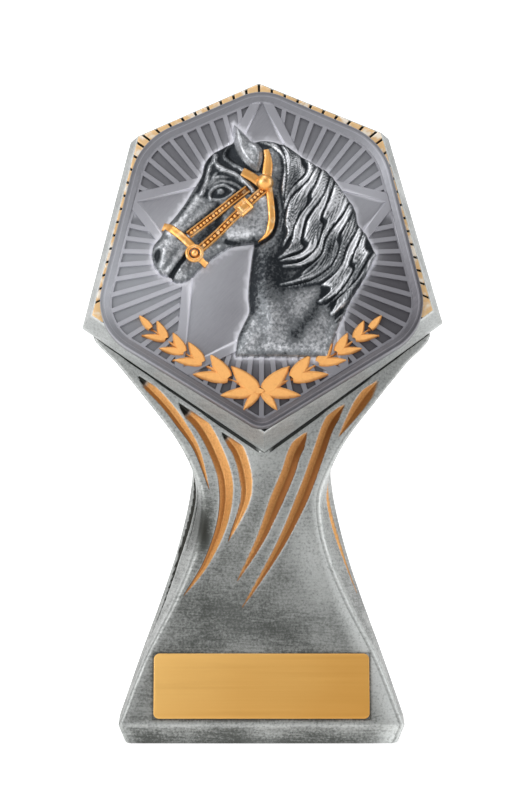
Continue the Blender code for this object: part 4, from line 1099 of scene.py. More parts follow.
@dataclass(frozen=True)
class ReliefPlan:
    """Outlines of the insert, its star and its horse, across and up the head, in metres."""

    top: float = 50.5 * MM
    shoulder: Spot = (35.4 * MM, 34.2 * MM)
    hip: Spot = (48.5 * MM, -21.8 * MM)
    bottom: float = 52.4 * MM
    radii: tuple[float, ...] = (14.0 * MM, 20.0 * MM, 16.0 * MM, 6.0 * MM)
    unit: float = 1.029 * MM
    star_half_width: float = 37.7 * MM
    star_half_height: float = 44.2 * MM
    star_centre: float = 2.2 * MM
    star_waist: float = 0.55
    horse: Route = (
        (-8.0, 38.5), (-5.2, 35.9), (-2.7, 32.8), (2.1, 33.2), (6.6, 31.8), (11.9, 28.2), (15.6, 25.7),
        (19.2, 23.2), (23.1, 17.6), (26.2, 12.6), (27.0, 8.5), (29.5, 5.0), (32.1, -0.4), (29.4, -5.8),
        (27.0, -9.9), (24.6, -13.9), (22.6, -18.8), (20.9, -22.9), (18.4, -30.1), (-7.4, -29.8),
        (-6.8, -24.6), (-5.2, -20.6), (-3.5, -16.7), (-3.8, -12.5), (-3.4, -6.7), (-2.7, -0.7), (-2.1, 2.9),
        (-8.0, 2.0), (-11.2, 0.3), (-15.2, -2.6), (-17.7, -5.2), (-20.0, -7.8), (-22.3, -8.6),
        (-24.7, -8.0), (-26.4, -6.7), (-28.3, -6.0), (-30.0, -3.8), (-30.8, -0.5), (-30.4, 2.3),
        (-28.4, 5.0), (-27.3, 7.5), (-24.5, 10.8), (-21.8, 14.6), (-19.3, 18.9), (-16.9, 23.2),
        (-16.2, 26.5), (-14.0, 29.4), (-10.6, 31.5), (-8.1, 32.7),
    )
    sharp: tuple[int, ...] = (0, 2, 12, 18, 19, 26, 48)

    def units(self, points: object) -> Array:
        """Relief units, about a hundredth of the insert's height, as metres."""
        return np.asarray(points, float) * self.unit

    def outline(self, inset: float = 0.0, steps: int = 22) -> Array:
        """The insert's soft six-sided outline, drawn in along its own normals."""
        half = [(0.0, self.top), self.shoulder, self.hip, (0.0, -self.bottom)]
        corners = half + [(-x, y) for x, y in (half[2], half[1])]
        radii = [*self.radii, self.radii[2], self.radii[1]]
        found = []
        for i, (corner, radius) in enumerate(zip(corners, radii)):
            corner = np.array(corner)
            back, ahead = np.array(corners[i - 1]) - corner, np.array(corners[(i + 1) % 6]) - corner
            back, ahead = back / np.linalg.norm(back), ahead / np.linalg.norm(ahead)
            half_angle = math.acos(np.clip(back @ ahead, -1, 1)) / 2
            bisector = (back + ahead) / np.linalg.norm(back + ahead)
            centre = corner + bisector * radius / math.sin(half_angle)
            turn, middle = math.pi / 2 - half_angle, math.atan2(-bisector[1], -bisector[0])
            for share in np.linspace(1, -1, steps):
                angle = middle + share * turn
                found.append(centre + (radius - inset) * np.array([math.cos(angle), math.sin(angle)]))
        return np.array(found)

    def star(self, inset: float) -> Array:
        """The fat five-pointed star, drawn in by an amount."""
        corners = []
        for i in range(10):
            angle = math.pi / 2 - i * math.pi / 5
            reach = self.star_waist if i % 2 else 1.0
            corners.append((reach * self.star_half_width * math.cos(angle),
                            self.star_centre + reach * self.star_half_height * math.sin(angle)))
        corners = np.array(corners)
        drawn = []
        for i, corner in enumerate(corners):
            back, ahead = corner - corners[i - 1], corners[(i + 1) % 10] - corner
            normal_a = np.array([back[1], -back[0]]) / np.linalg.norm(back)
            normal_b = np.array([ahead[1], -ahead[0]]) / np.linalg.norm(ahead)
            drawn.append(corner + np.linalg.inv([normal_a, normal_b]) @ (inset, inset))
        return np.array(drawn)

    def star_bar_lines(self, outset: float, rim: Array) -> list[Array]:
        """Outer line of the bars round the star's flat, in five parts that end at the rim.

        Args:
            outset: Distance out from the flat.
            rim: The rim's inner outline.

        Returns:
            The five lines.
        """
        star, lines = self.star(-outset), []
        for i in range(1, 10, 2):
            halves = []
            for tip in (star[i - 1], star[(i + 1) % 10]):
                spots = star[i] + (tip - star[i]) * np.linspace(0, 1, 400)[:, None]
                halves.append(resampled(spots[loop_distance(spots, rim) > 0], 1.3 * MM))
            lines.append(np.concatenate([halves[0][:0:-1], halves[1]]))
        return lines

    def horse_outline(self, grow: float = 0.0, pitch: float = 0.45 * MM) -> Array:
        """The horse's outline, grown by an amount."""
        line = resampled(self.units(smooth_curve(self.horse, 6, True, self.sharp)), pitch, True)
        run = np.roll(line, -1, axis=0) - np.roll(line, 1, axis=0)
        normal = np.stack([-run[:, 1], run[:, 0]], axis=1) / np.linalg.norm(run, axis=1)[:, None]
        return line + normal * grow


class PlanarNet:
    """Points and edges that a relief's triangles have to follow."""

    def __init__(self) -> None:
        """Start with an empty net."""
        self.points: list[Spot] = []
        self.edges: list[tuple[int, int]] = []

    def add_line(self, line: Array, closed: bool = False) -> None:
        """Add a line whose edges the triangles keep."""
        first, count = len(self.points), len(line)
        self.points += [tuple(point) for point in line]
        self.edges += [(first + i, first + (i + 1) % count) for i in range(count if closed else count - 1)]

    def add_points(self, points: Array) -> None:
        """Add loose points."""
        self.points += [tuple(point) for point in points]

    def triangles(self) -> tuple[Array, Faces]:
        """The net's triangles.

        Returns:
            The points in metres, and the corner numbers of each triangle.
        """
        plan = [Vector((x / MM, y / MM)) for x, y in self.points]
        points, _, faces, *_ = delaunay_2d_cdt(plan, self.edges, [], 0, 0.012)
        return np.array([(p.x, p.y) for p in points]) * MM, [tuple(face) for face in faces]


def outer_loop(faces: Faces) -> list[int]:
    """Corner numbers round the open edge of a sheet of faces, in order."""
    edges = {(face[i], face[(i + 1) % len(face)]) for face in faces for i in range(len(face))}
    following = {a: b for a, b in edges if (b, a) not in edges}
    loop = [next(iter(following))]
    while following[loop[-1]] != loop[0]:
        loop.append(following[loop[-1]])
    return loop


def close_back(places: Array, faces: Faces, back: Array) -> tuple[Array, Faces]:
    """Close a relief sheet with a wall and a flat back.

    Args:
        places: World points of the face's vertices.
        faces: The face's triangles.
        back: World points of all the same vertices on the back.

    Returns:
        The vertices and faces of the closed solid.
    """
    loop = outer_loop(faces)
    first, count = len(places), len(loop)
    faces = [*faces, tuple(first + i for i in range(count))]
    faces += [(loop[i], loop[(i + 1) % count], first + (i + 1) % count, first + i) for i in range(count)]
    return np.concatenate([places, back[loop]]), faces


@dataclass
class InsertPlate:
    """The insert's field: rim, ribs, pockets and star, in brushed pewter."""

    head: LeaningHead
    plan: ReliefPlan
    back: float = 0.15 * MM
    rim_top: float = 3.8 * MM
    rim_lip: float = 0.8 * MM
    rim_width: float = 2.7 * MM
    border: float = 0.6 * MM
    rib_top: float = 2.6 * MM
    floor: float = 2.0 * MM
    bar_top: float = 2.8 * MM
    flat_top: float = 2.2 * MM
    bar_width: float = 2.5 * MM
    ribs: int = 63
    rib_width: float = 1.3 * MM
    draft: float = 0.16 * MM

    def heights(self, points: Array) -> tuple[Array, Array]:
        """Height and brightness of the field.

        Args:
            points: Places across and up the head.

        Returns:
            Heights above the ledge, and 0 for low and dark to 1 for raised and bright.
        """
        rim = loop_distance(points, self.plan.outline())
        star = loop_distance(points, self.plan.star(0))
        pitch = 2 * math.pi / self.ribs
        angle = np.arctan2(points[:, 0], -points[:, 1])
        off_rib = (angle + pitch / 2) % pitch - pitch / 2
        from_middle = np.linalg.norm(points, axis=1)
        rib = np.clip(
            (self.rib_width / 2 + self.draft - from_middle * np.abs(np.sin(off_rib))) / self.draft, 0, 1,
        )
        border = np.clip((self.rim_width + self.border + self.draft - rim) / self.draft, 0, 1)
        raised = np.maximum(rib, border)
        height = self.floor + (self.rib_top - self.floor) * raised
        on_star = star > -self.bar_width - 2 * self.draft
        bar = np.clip((star + self.bar_width + 2 * self.draft) / self.draft, 0, 1)
        flat = np.clip(star / self.draft + 1, 0, 1)
        star_height = self.floor + (self.bar_top - self.floor) * bar + (self.flat_top - self.bar_top) * flat
        height = np.where(on_star, np.maximum(star_height, np.where(flat < 1, height, 0)), height)
        raised = np.where(on_star, np.maximum(bar * (1 - 0.42 * flat), np.where(flat < 1, raised, 0)), raised)
        slope = 1 - np.clip((rim - self.rim_lip) / (self.rim_width - self.rim_lip), 0, 1)
        on_rim = rim < self.rim_width
        height = np.where(on_rim, self.rib_top + (self.rim_top - self.rib_top) * slope, height)
        band = 0.62 * bell(rim, 0.22 * MM) + np.where(rim < 1.1 * MM, 0.20, 0.0)
        band = np.maximum(band, 0.60 * bell(rim - 1.25 * MM, 0.16 * MM))
        raised = np.where(on_rim, band, raised)
        inner_lip = bell(rim - self.rim_width - 0.1 * MM, 0.26 * MM)
        return height, np.maximum(raised, 0.55 * inner_lip)

    @staticmethod
    def light_fall(points: Array) -> Array:
        """The paler sheen of the satin metal: strongest at the left and at the upper right."""
        u, v = points.T / MM
        fall = bell(u + 36, 24) * bell(v + 7, 24) + 0.62 * bell(u - 27, 17) * bell(v - 19, 13)
        fall += 0.35 * bell(u + 8, 14) * bell(v - 4, 16) + 0.30 * step(v, 14, 40)
        fall += 0.16 * bell(u + 17, 10) * bell(v + 19, 10)
        return np.clip(fall, 0, 1)

    def net(self) -> PlanarNet:
        """Every edge of the field, and a loose grid for the glow round the horse."""
        net = PlanarNet()
        draft, plan = self.draft, self.plan
        inner = self.rim_width
        rims = (
            0.0, 0.2 * MM, 0.4 * MM, self.rim_lip, 1.08 * MM, 1.25 * MM, 1.42 * MM, inner - 0.15 * MM,
            inner,
        )
        rims += (inner + self.border, inner + self.border + draft)
        for inset in rims:
            net.add_line(plan.outline(inset), True)
        rim = plan.outline(self.rim_width)
        for outset in (0.0, draft):
            net.add_line(plan.star(-outset), True)
            for line in plan.star_bar_lines(self.bar_width + draft + outset, rim):
                net.add_line(line)
        star = plan.star(-self.bar_width - 2 * draft - 0.1 * MM)
        border = plan.outline(self.rim_width + self.border)
        for i in range(self.ribs):
            angle = i * 2 * math.pi / self.ribs
            out = np.array([math.sin(angle), -math.cos(angle)])
            spots = out * np.linspace(8 * MM, 56 * MM, 1200)[:, None]
            on_field = (loop_distance(spots, star) < 0) & (loop_distance(spots, border) > 0)
            if on_field.sum() < 25:
                continue
            spots = spots[on_field]
            across = np.array([out[1], -out[0]])
            for side in (-1, 1):
                for half in (self.rib_width / 2, self.rib_width / 2 + draft):
                    ends = np.array([spots[0] - out * 0.4 * MM, spots[-1] + out * 0.3 * MM])
                    net.add_line(resampled(ends + across * side * half, 1.3 * MM))
        net.add_line(plan.horse_outline(0.15 * MM, 0.8 * MM), True)
        x, y = np.meshgrid(np.arange(-46, 46, 1.35) * MM, np.arange(-53, 49, 1.35) * MM)
        spots = np.column_stack([x.ravel(), y.ravel()])
        spots += np.random.default_rng(4).uniform(-0.3, 0.3, spots.shape) * MM
        keep = loop_distance(spots, plan.outline(self.rim_width + self.border + 0.4 * MM)) > 0
        near_edge = np.abs(loop_distance(spots, plan.star(-draft / 2))) < 0.3 * MM
        net.add_points(spots[keep & ~near_edge])
        return net

    def build(self) -> Piece:
        """The closed plate with its brightness marks."""
        points, faces = self.net().triangles()
        height, raised = self.heights(points)
        loop = outer_loop(faces)
        height[loop] = self.rim_top - 0.25 * MM
        from_horse = -loop_distance(points, self.plan.horse_outline(0, 1.2 * MM))
        glow = np.where(
            from_horse > 0, 0.95 * bell(from_horse, 0.60 * MM) + 0.36 * np.exp(-from_horse / (1.9 * MM)),
            0.5,
        )
        places = self.head.place(points[:, 0], points[:, 1], height, 0)
        back = self.head.place(points[:, 0], points[:, 1], np.full(len(points), self.back), 0)
        vertices, faces = close_back(places, faces, back)
        piece = mesh_piece("insert_plate", vertices, faces, 25)
        mark(piece, "raised", np.r_[raised, np.full(len(loop), 0.1)])
        mark(piece, "halo", np.r_[glow, np.zeros(len(loop))])
        mark(piece, "lit", np.r_[self.light_fall(points), np.zeros(len(loop))])
        return piece


@dataclass(frozen=True)
class Touch:
    """One soft mark on the horse: a ridge along a route, or an oval spot where its size is a pair.

    The route is in hundredths, the size and the rise are in millimetres and the turn of an oval is in
    degrees. The tone is a share of the way from black to bright.
    """

    route: Route
    size: float | Spot
    rise: float = 0.0
    tone: float = 0.0
    turn: float = 0.0


@dataclass
class HorseRelief:
    """The horse's head and neck, raised from the insert and modelled on a fine raster."""

    head: LeaningHead
    plan: ReliefPlan
    raster: float = 0.2 * MM
    grain: float = 0.34 * MM
    base: float = 2.0 * MM
    mane: tuple[Route, ...] = (
        ((-0.3, 32.1), (2.7, 31.2), (5.3, 28.8), (6.4, 24.8), (6.0, 20.8), (5.3, 16.8), (6.2, 13.2)),
        ((6.6, 31.0), (8.1, 27.6), (8.3, 23.4), (7.2, 19.9), (6.6, 16.8), (6.6, 13.6), (6.3, 10.4)),
        ((12.6, 27.2), (11.8, 23.0), (10.3, 19.9), (8.3, 16.3), (7.2, 12.8), (6.2, 8.8), (5.3, 4.4)),
        ((16.5, 24.2), (14.8, 19.4), (12.6, 15.9), (10.0, 12.4), (8.5, 7.9), (8.1, 3.5), (6.2, -0.3)),
        ((19.3, 22.0), (17.6, 16.3), (15.4, 11.9), (13.1, 7.9), (11.5, 3.9), (9.4, 0.6), (4.4, -2.3)),
        ((22.1, 18.8), (20.4, 13.2), (18.2, 8.8), (16.6, 4.4), (15.2, -0.1), (11.3, -3.6), (5.7, -4.6)),
        ((25.1, 15.0), (22.9, 9.7), (20.6, 5.3), (19.1, 0.8), (18.0, -3.6), (13.1, -8.0), (4.9, -10.3)),
        ((27.2, 11.0), (25.3, 5.7), (23.2, 1.3), (22.0, -3.2), (19.7, -6.9), (15.6, -9.9), (10.0, -11.3)),
        ((29.8, 7.5), (28.1, 2.6), (26.4, -1.8), (24.7, -5.8), (22.1, -9.8), (19.5, -12.9), (16.6, -15.3)),
        ((32.4, 1.4), (30.2, -2.7), (28.5, -5.8), (26.4, -8.9), (23.8, -12.0), (21.2, -14.7), (18.6, -17.5)),
        ((35.0, 1.4), (32.4, -3.4), (30.2, -7.4), (28.0, -11.2), (25.6, -14.8), (23.2, -18.0), (20.6, -20.8)),
    )
    locks_per_guide: float = 1.25
    strands_per_guide: float = 6.5
    forelocks: tuple[Route, ...] = (
        ((-9.6, 31.0), (-10.4, 28.4), (-8.6, 26.0), (-5.4, 23.6), (-4.6, 22.6)),
        ((-12.9, 28.2), (-12.9, 25.8), (-10.8, 24.0), (-7.2, 22.3), (-4.4, 19.9), (-2.4, 17.6)),
        ((-13.2, 28.2), (-14.8, 24.3), (-15.6, 20.2), (-16.7, 17.3)),
    )
    cheek: Route = (
        (-3.6, 17.4), (1.6, 15.8), (3.0, 10.6), (1.2, 5.2), (-4.2, 3.4), (-9.6, 4.9), (-11.2, 9.4),
        (-8.8, 14.6),
    )
    ear_outline: Route = (
        (-8.0, 38.5), (-5.4, 36.0), (-3.0, 33.6), (-0.6, 31.4), (0.3, 29.0), (0.0, 26.0), (-1.0, 23.4),
        (-3.2, 24.6), (-5.3, 26.8), (-7.1, 30.0), (-8.2, 33.4),
    )
    touches: tuple[Touch, ...] = (
        # Cheek, facial crest and the line under the nose's edge
        Touch(((1.6, 5.6), (-3.4, 4.0), (-8.6, 4.6)), 0.8, tone=0.10),
        Touch(((3.6, 15.0), (4.2, 9.0), (2.0, 3.8), (-4.2, 2.0), (-9.8, 3.2)), 0.6, -0.5),
        Touch(
            ((4.0, 16.0), (4.4, 9.0), (2.4, 4.0), (-4.0, 2.2), (-9.6, 2.9), (-13.0, 2.6)), 0.55, tone=-0.35,
        ),
        Touch(((-9.5, 14.6), (-14.5, 10.6), (-20.5, 5.0)), 1.6, 0.3),
        Touch(((-13.8, 21.6), (-19.0, 14.0), (-25.5, 6.0)), 1.5, 0.2),
        Touch(((-17.4, 19.0), (-20.2, 14.8), (-23.8, 9.2)), 0.35, tone=-0.30),
        Touch(((-16.2, 18.6), (-19.2, 14.2), (-23.0, 8.6)), 0.7, tone=0.06),
        Touch(((-12.0, 13.4), (-17.4, 8.6), (-22.4, 4.2)), 1.0, -0.55),
        Touch(((-3.4, 15.4), (-10.4, 9.8), (-14.8, 5.4), (-17.4, 2.6)), 1.7, tone=-0.50),
        # Nostril with its rim, mouth, lips and chin
        Touch(((-27.0, 0.4),), (2.6, 3.6), 0.35, turn=20),
        Touch(((-24.6, 3.0),), (1.5, 2.4), tone=0.12, turn=20),
        Touch(((-21.2, -5.8),), (2.6, 1.7), 0.3, turn=25),
        Touch(((-21.6, -6.0),), (2.4, 1.6), tone=-0.10, turn=25),
        Touch(((-29.0, -0.9),), (2.5, 1.15), -0.9, -0.50, 80),
        Touch(((-28.8, -0.9),), (3.7, 2.0), 0.35, turn=80),
        Touch(((-28.8, -0.9),), (3.5, 1.9), tone=0.10, turn=80),
        Touch(((-20.8, -0.8), (-22.4, -2.8), (-24.4, -5.6), (-25.4, -7.4)), 0.6, -1.1),
        Touch(((-20.8, -1.0), (-22.6, -3.0), (-24.4, -5.4), (-25.6, -7.6)), 0.75, tone=-0.85),
        Touch(((-22.4, -0.4), (-24.4, -2.6), (-26.4, -5.6)), 0.35, tone=0.16),
        Touch(((-24.0, 0.6), (-25.2, -1.6), (-27.0, -4.4)), 0.5, tone=-0.30),
        Touch(((-19.4, -2.0), (-20.2, -4.0), (-20.4, -6.4)), 0.4, tone=-0.35),
        Touch(((-26.8, -6.3), (-29.4, -4.6)), 0.6, tone=0.10),
        # Socket, ball, lids and the folds of the brow
        Touch(((-11.5, 17.5),), (3.2, 2.0), -0.75, turn=12),
        Touch(((-11.5, 17.4),), (2.7, 1.5), tone=-0.62, turn=12),
        Touch(((-11.5, 17.5),), (1.3, 1.15), 0.9),
        Touch(((-11.5, 17.7),), (1.1, 0.95), tone=0.62),
        Touch(((-14.2, 15.0), (-14.5, 16.9), (-12.7, 18.9), (-10.2, 19.2), (-8.0, 17.8)), 0.38, 0.65, 0.08),
        Touch(((-13.6, 15.2), (-11.4, 15.0), (-9.0, 16.2), (-7.6, 17.6)), 0.38, 0.35),
        *(Touch(((-14.8, 17.4 + lift * 0.7), (-12.4, 20.2 + lift), (-8.4, 20.0 + lift), (-5.4, 18.2 + lift)),
                0.4, 0.15, 0.18 - 0.04 * lift) for lift in (0.0, 1.5, 2.9)),
        # The neck's dark front, its muscles and the lighter chest
        Touch(((1.8, -3.5),), (6.5, 9.5), tone=-0.62),
        Touch(((0.6, -13.0),), (4.5, 7.0), tone=-0.22),
        Touch(((4.4, 22.0), (5.2, 12.0), (5.4, 4.0)), 1.2, tone=-0.16),
        Touch(((1.8, 0.0), (1.4, -10.0), (3.6, -20.0), (4.0, -27.0)), 3.2, 0.9),
        Touch(((17.4, -12.5), (14.0, -18.0), (9.6, -24.0)), 2.2, -0.4),
        Touch(((17.6, -12.0), (14.6, -17.4), (10.4, -22.8)), 2.4, tone=-0.20),
        Touch(((9.0, -15.0),), (8.0, 4.2), tone=0.24, turn=25),
        Touch(((-2.2, -8.0), (-2.6, -15.0), (-4.6, -21.0), (-5.4, -27.0)), 1.4, tone=-0.22),
        # The hollow before the ear, the poll behind it and the ear's own groove
        Touch(((-8.9, 28.3),), (3.5, 1.9), -1.0, -0.95, 120),
        Touch(((0.6, 31.6), (4.0, 31.4), (8.0, 29.6)), 0.7, tone=-0.30),
        Touch(((-6.2, 34.6), (-3.6, 30.6), (-2.0, 26.4)), 0.9, -0.2),
        Touch(((1.2, 31.0), (1.4, 27.6), (0.4, 23.4)), 0.7, tone=-0.75),
    )
    cache: dict[str, Array] = field(default_factory=dict)

    def grid(self) -> tuple[Array, Array, Array]:
        """The raster's columns, rows and points."""
        low, high = self.plan.units((-33.5, -32.5)), self.plan.units((34.5, 41.0))
        columns = np.arange(low[0], high[0], self.raster)
        rows = np.arange(low[1], high[1], self.raster)
        x, y = np.meshgrid(columns, rows)
        return columns, rows, np.column_stack([x.ravel(), y.ravel()])

    def line(self, route: Route) -> Array:
        """A smooth line through places in hundredths."""
        return self.plan.units(smooth_curve(np.array(route), 8))

    def ridge(self, points: Array, route: Route, width: float) -> Array:
        """A soft ridge of height 1 along a line."""
        distance, _, _ = along_line(points, self.line(route), 3 * width * MM)
        return bell(distance, width * MM)

    def spot(self, points: Array, centre: Spot, radius: Spot, turn: float = 0.0) -> Array:
        """A soft oval swelling of height 1."""
        off = points - self.plan.units(centre)
        c, s = math.cos(math.radians(turn)), math.sin(math.radians(turn))
        along, across = off @ (c, s), off @ (-s, c)
        return bell(along, radius[0] * MM) * bell(across, radius[1] * MM)

    def strength(self, points: Array, touch: Touch) -> Array:
        """How strongly a touch acts at each point, up to 1."""
        if isinstance(touch.size, tuple):
            return self.spot(points, touch.route[0], touch.size, touch.turn)
        return self.ridge(points, touch.route, touch.size)

    def flow(self, shape: tuple[int, int], corner: Array) -> tuple[Array, Array]:
        """How the mane's hair runs over the raster.

        Args:
            shape: Rows and columns of the raster.
            corner: The raster's lowest place.

        Returns:
            The place across the guides and the share along them, not a number outside the mane.
        """
        guides = np.array(self.mane)
        guides = np.concatenate([guides[:, :1] * 1.7 - guides[:, 1:2] * 0.7, guides], axis=1)
        lines = np.array([smooth_curve(guide, 14) for guide in self.plan.units(guides)])
        sheet = np.array([smooth_curve(lines[:, k], 60) for k in range(lines.shape[1])])
        stations = np.linspace(0, sheet.shape[0] - 1, 520)
        low = np.minimum(stations.astype(int), sheet.shape[0] - 2)
        part = (stations - low)[:, None, None]
        sheet = sheet[low] * (1 - part) + sheet[low + 1] * part
        across = np.broadcast_to(np.linspace(0, len(guides) - 1, sheet.shape[1]), sheet.shape[:2])
        along = np.broadcast_to(np.linspace(0, 1, sheet.shape[0])[:, None], sheet.shape[:2])
        cell = np.rint((sheet - corner) / self.raster).astype(int)
        ok = (cell[..., 0] >= 0) & (cell[..., 0] < shape[1]) & (cell[..., 1] >= 0) & (cell[..., 1] < shape[0])
        index = (cell[..., 1] * shape[1] + cell[..., 0])[ok]
        size = shape[0] * shape[1]
        hits = np.bincount(index, minlength=size)
        sums = [np.bincount(index, weights=values[ok], minlength=size) for values in (across, along)]
        return tuple(np.where(hits > 0, total / np.maximum(hits, 1), np.nan) for total in sums)

    def locks(self, shape: tuple[int, int], corner: Array) -> tuple[Array, Array, Array]:
        """The mane's thick locks and the fine strands in them.

        Args:
            shape: Rows and columns of the raster.
            corner: The raster's lowest place.

        Returns:
            Height, brightness, and how far each place belongs to the mane.
        """
        across, along = self.flow(shape, corner)
        in_mane = ~np.isnan(across)
        q, t = np.nan_to_num(across), np.nan_to_num(along)
        rng = np.random.default_rng(23)

        def sway(strength: float, rate_q: float, rate_t: float) -> Array:
            phases = rng.uniform(0, 2 * math.pi, 4)
            return strength * (
                np.sin(rate_q * q + phases[0]) * np.sin(rate_t * t + phases[1])
                + 0.6 * np.sin(2.3 * rate_q * q + phases[2] + 1.7 * rate_t * t + phases[3])
            )

        place = q * self.locks_per_guide + sway(0.34, 1.6, 4.2) + sway(0.12, 3.4, 8.5)
        number = np.floor(place).astype(int)
        inside = place - number
        lift, end, tint = (
            rng.uniform(low, high, 64)
            for low, high in ((0.55, 1.25), (0.84, 1.0), (-0.22, 0.18))
        )
        number = np.clip(number + 4, 0, 63)
        middle = 0.42
        rise = np.where(inside < middle, inside / middle, (1 - inside) / (1 - middle))
        open_end = np.clip((end[number] - t) / 0.16, 0, 1)
        body = np.sqrt(np.clip(1 - (1 - rise) ** 2, 0, 1)) * np.clip(rise / 0.22 - (1 - open_end) * 3.0, 0, 1)
        fine = q * self.strands_per_guide + sway(0.60, 2.2, 5.0) + sway(0.25, 5.0, 10.0)
        strand = 0.5 + 0.5 * np.cos(2 * math.pi * fine)
        finer = 0.5 + 0.5 * np.cos(2 * math.pi * (q * self.strands_per_guide * 2.3 + sway(0.5, 4.0, 7.0)))
        height = (lift[number] * body + 0.22 * strand * body + 0.07 * finer * body) * MM
        # Painted highlight: bright bands across the locks where the mane bulges towards the light.
        crest = bell(t - 0.30 - 0.04 * np.sin(q * 3.3), 0.13) + 0.5 * bell(t - 0.70, 0.13)
        tone = body * (0.17 + tint[number] + 0.62 * (strand - 0.45) + 0.34 * (finer - 0.5) + 0.58 * crest)
        tone += 0.28 * bell(inside - 0.16, 0.055) * open_end + 0.22 * bell(inside - 0.86, 0.05) * open_end
        tone += sway(0.16, 1.7, 7.0) + sway(0.10, 5.2, 12.0) - 0.06
        gap = 0.045 + np.clip(sway(0.025, 3.7, 12.0), -0.03, 0.05)
        tone -= 0.75 * bell(np.minimum(inside, 1 - inside), gap)
        share = in_mane * np.clip((1.0 - t) / 0.07, 0, 1) * np.clip(q / 0.18, 0, 1)
        return height * in_mane, tone, share * np.clip(np.where(t > 0.82, body * 4, 1), 0, 1)

    def sculpt(self) -> None:
        """Work out the raster of heights and of tone once: black wash by depth, with painted highlights."""
        columns, rows, points = self.grid()
        depth = loop_distance(points, self.plan.horse_outline(0, 0.8 * MM))
        dome = 1 - np.exp(-np.maximum(depth, 0) / (3.2 * MM))
        height = 1.3 * MM * np.clip(depth / (0.35 * MM), -1, 1) + 2.6 * MM * dome
        tone = np.full(len(points), 0.56)
        for touch in self.touches:
            strength = self.strength(points, touch)
            height, tone = height + touch.rise * MM * strength, tone + touch.tone * strength
        height, tone = self.forelock(points, *self.outlined(points, height, tone))
        shape = (len(rows), len(columns))
        strands, strand_tone, share = self.locks(shape, np.array([columns[0], rows[0]]))
        bed = np.clip(self.spot(points, (16.0, 6.0), (13.0, 17.0), -38) * 1.7, 0, 1)
        height = height + strands * share + 0.8 * MM * bed
        tone = tone * (1 - share) + share * strand_tone
        height, tone, edge = (values.reshape(shape) for values in (height, tone, depth))
        solid = (edge > 0).astype(float)
        share = share.reshape(shape)
        for radius, reach, low, high in ((1.4 * MM, 0.85 * MM, 0.10, 0.6), (0.5 * MM, 0.20 * MM, 0.08, 0.3)):
            around = self.blurred(height * solid, radius) / np.maximum(self.blurred(solid, radius), 0.05)
            sunk = np.clip((around - height) / reach, -low - 0.18 * share, high)
            tone = tone - sunk * step(edge, 0.2 * MM, 1.1 * MM)
        mottle = self.blurred(np.random.default_rng(8).normal(size=shape), 0.18 * MM)
        tone += 0.09 * mottle / mottle.std() * (1 - 0.5 * share)
        ear, ear_tone = (values.reshape(shape) for values in self.ear_tone(points))
        tone = tone * (1 - ear) + (ear_tone + 0.05 * mottle / mottle.std()) * ear
        # Painted highlight: a thin bright line along the horse's outline.
        tone += 0.28 * bell(edge, 0.22 * MM)
        self.cache = {"columns": columns, "rows": rows, "height": height, "tone": np.clip(tone, 0, 1.2)}

    def outlined(self, points: Array, height: Array, tone: Array) -> tuple[Array, Array]:
        """The cheek's plate and the ear, which have outlines of their own."""
        cheek = loop_distance(points, self.line(self.cheek))
        ear = loop_distance(points, self.line(self.ear_outline))
        height = (
            height + 1.0 * MM * step(cheek, -1.4 * MM, 2.2 * MM) + 1.9 * MM * step(ear, -0.3 * MM, 1.6 * MM)
        )
        return height, tone + 0.20 * step(cheek, -0.5 * MM, 2.5 * MM)

    def ear_tone(self, points: Array) -> tuple[Array, Array]:
        """How far each place belongs to the ear, and the ear's even silver with its faint groove."""
        inside = step(loop_distance(points, self.line(self.ear_outline)), -0.15 * MM, 0.10 * MM)
        tone = 0.78 - 0.16 * self.ridge(points, ((-5.6, 34.0), (-3.0, 30.6), (-1.4, 26.8)), 0.7)
        tone += 0.10 * self.ridge(points, ((-7.7, 37.6), (-7.3, 34.0), (-6.0, 29.8), (-4.4, 27.0)), 0.6)
        return inside, tone - 0.30 * self.spot(points, (-1.6, 24.6), (1.6, 1.2), 60)

    def forelock(self, points: Array, height: Array, tone: Array) -> tuple[Array, Array]:
        """The forelock's strands over the brow."""
        for route, lift, width in zip(self.forelocks, (0.8, 1.15, 0.6), (0.7, 0.75, 0.55)):
            distance, share, side = along_line(points, self.line(route))
            strand = bell(distance, width * MM)
            height = height + lift * MM * strand
            tone = tone - 0.34 * bell(distance - 1.35 * MM, 0.45 * MM)
            hairs = np.cos(2 * math.pi * (distance * side / (0.55 * MM) + 0.5 * np.sin(9 * share)))
            tone += strand * (0.02 + 0.26 * hairs)
        return height, tone

    def blurred(self, values: Array, radius: float) -> Array:
        """A Gaussian blur of a raster."""
        reach = radius / self.raster
        across = np.exp(-2 * (math.pi * reach * np.fft.fftfreq(values.shape[1])) ** 2)
        up = np.exp(-2 * (math.pi * reach * np.fft.fftfreq(values.shape[0])) ** 2)
        return np.real(np.fft.ifft2(np.fft.fft2(values) * up[:, None] * across[None, :]))

    def sample(self, name: str, points: Array) -> Array:
        """Read the raster between its points.

        Args:
            name: height or tone.
            points: Places across and up the head.

        Returns:
            The values there.
        """
        values = self.cache[name]
        x = np.clip((points[:, 0] - self.cache["columns"][0]) / self.raster, 0, values.shape[1] - 1.001)
        y = np.clip((points[:, 1] - self.cache["rows"][0]) / self.raster, 0, values.shape[0] - 1.001)
        i, j = x.astype(int), y.astype(int)
        s, t = x - i, y - j
        return (
            values[j, i] * (1 - s) * (1 - t) + values[j, i + 1] * s * (1 - t)
            + values[j + 1, i] * (1 - s) * t + values[j + 1, i + 1] * s * t
        )

    def surface(self, points: Array) -> Array:
        """Height of the horse's face above the head's ledge."""
        return self.base + np.maximum(self.sample("height", points), -0.2 * MM)

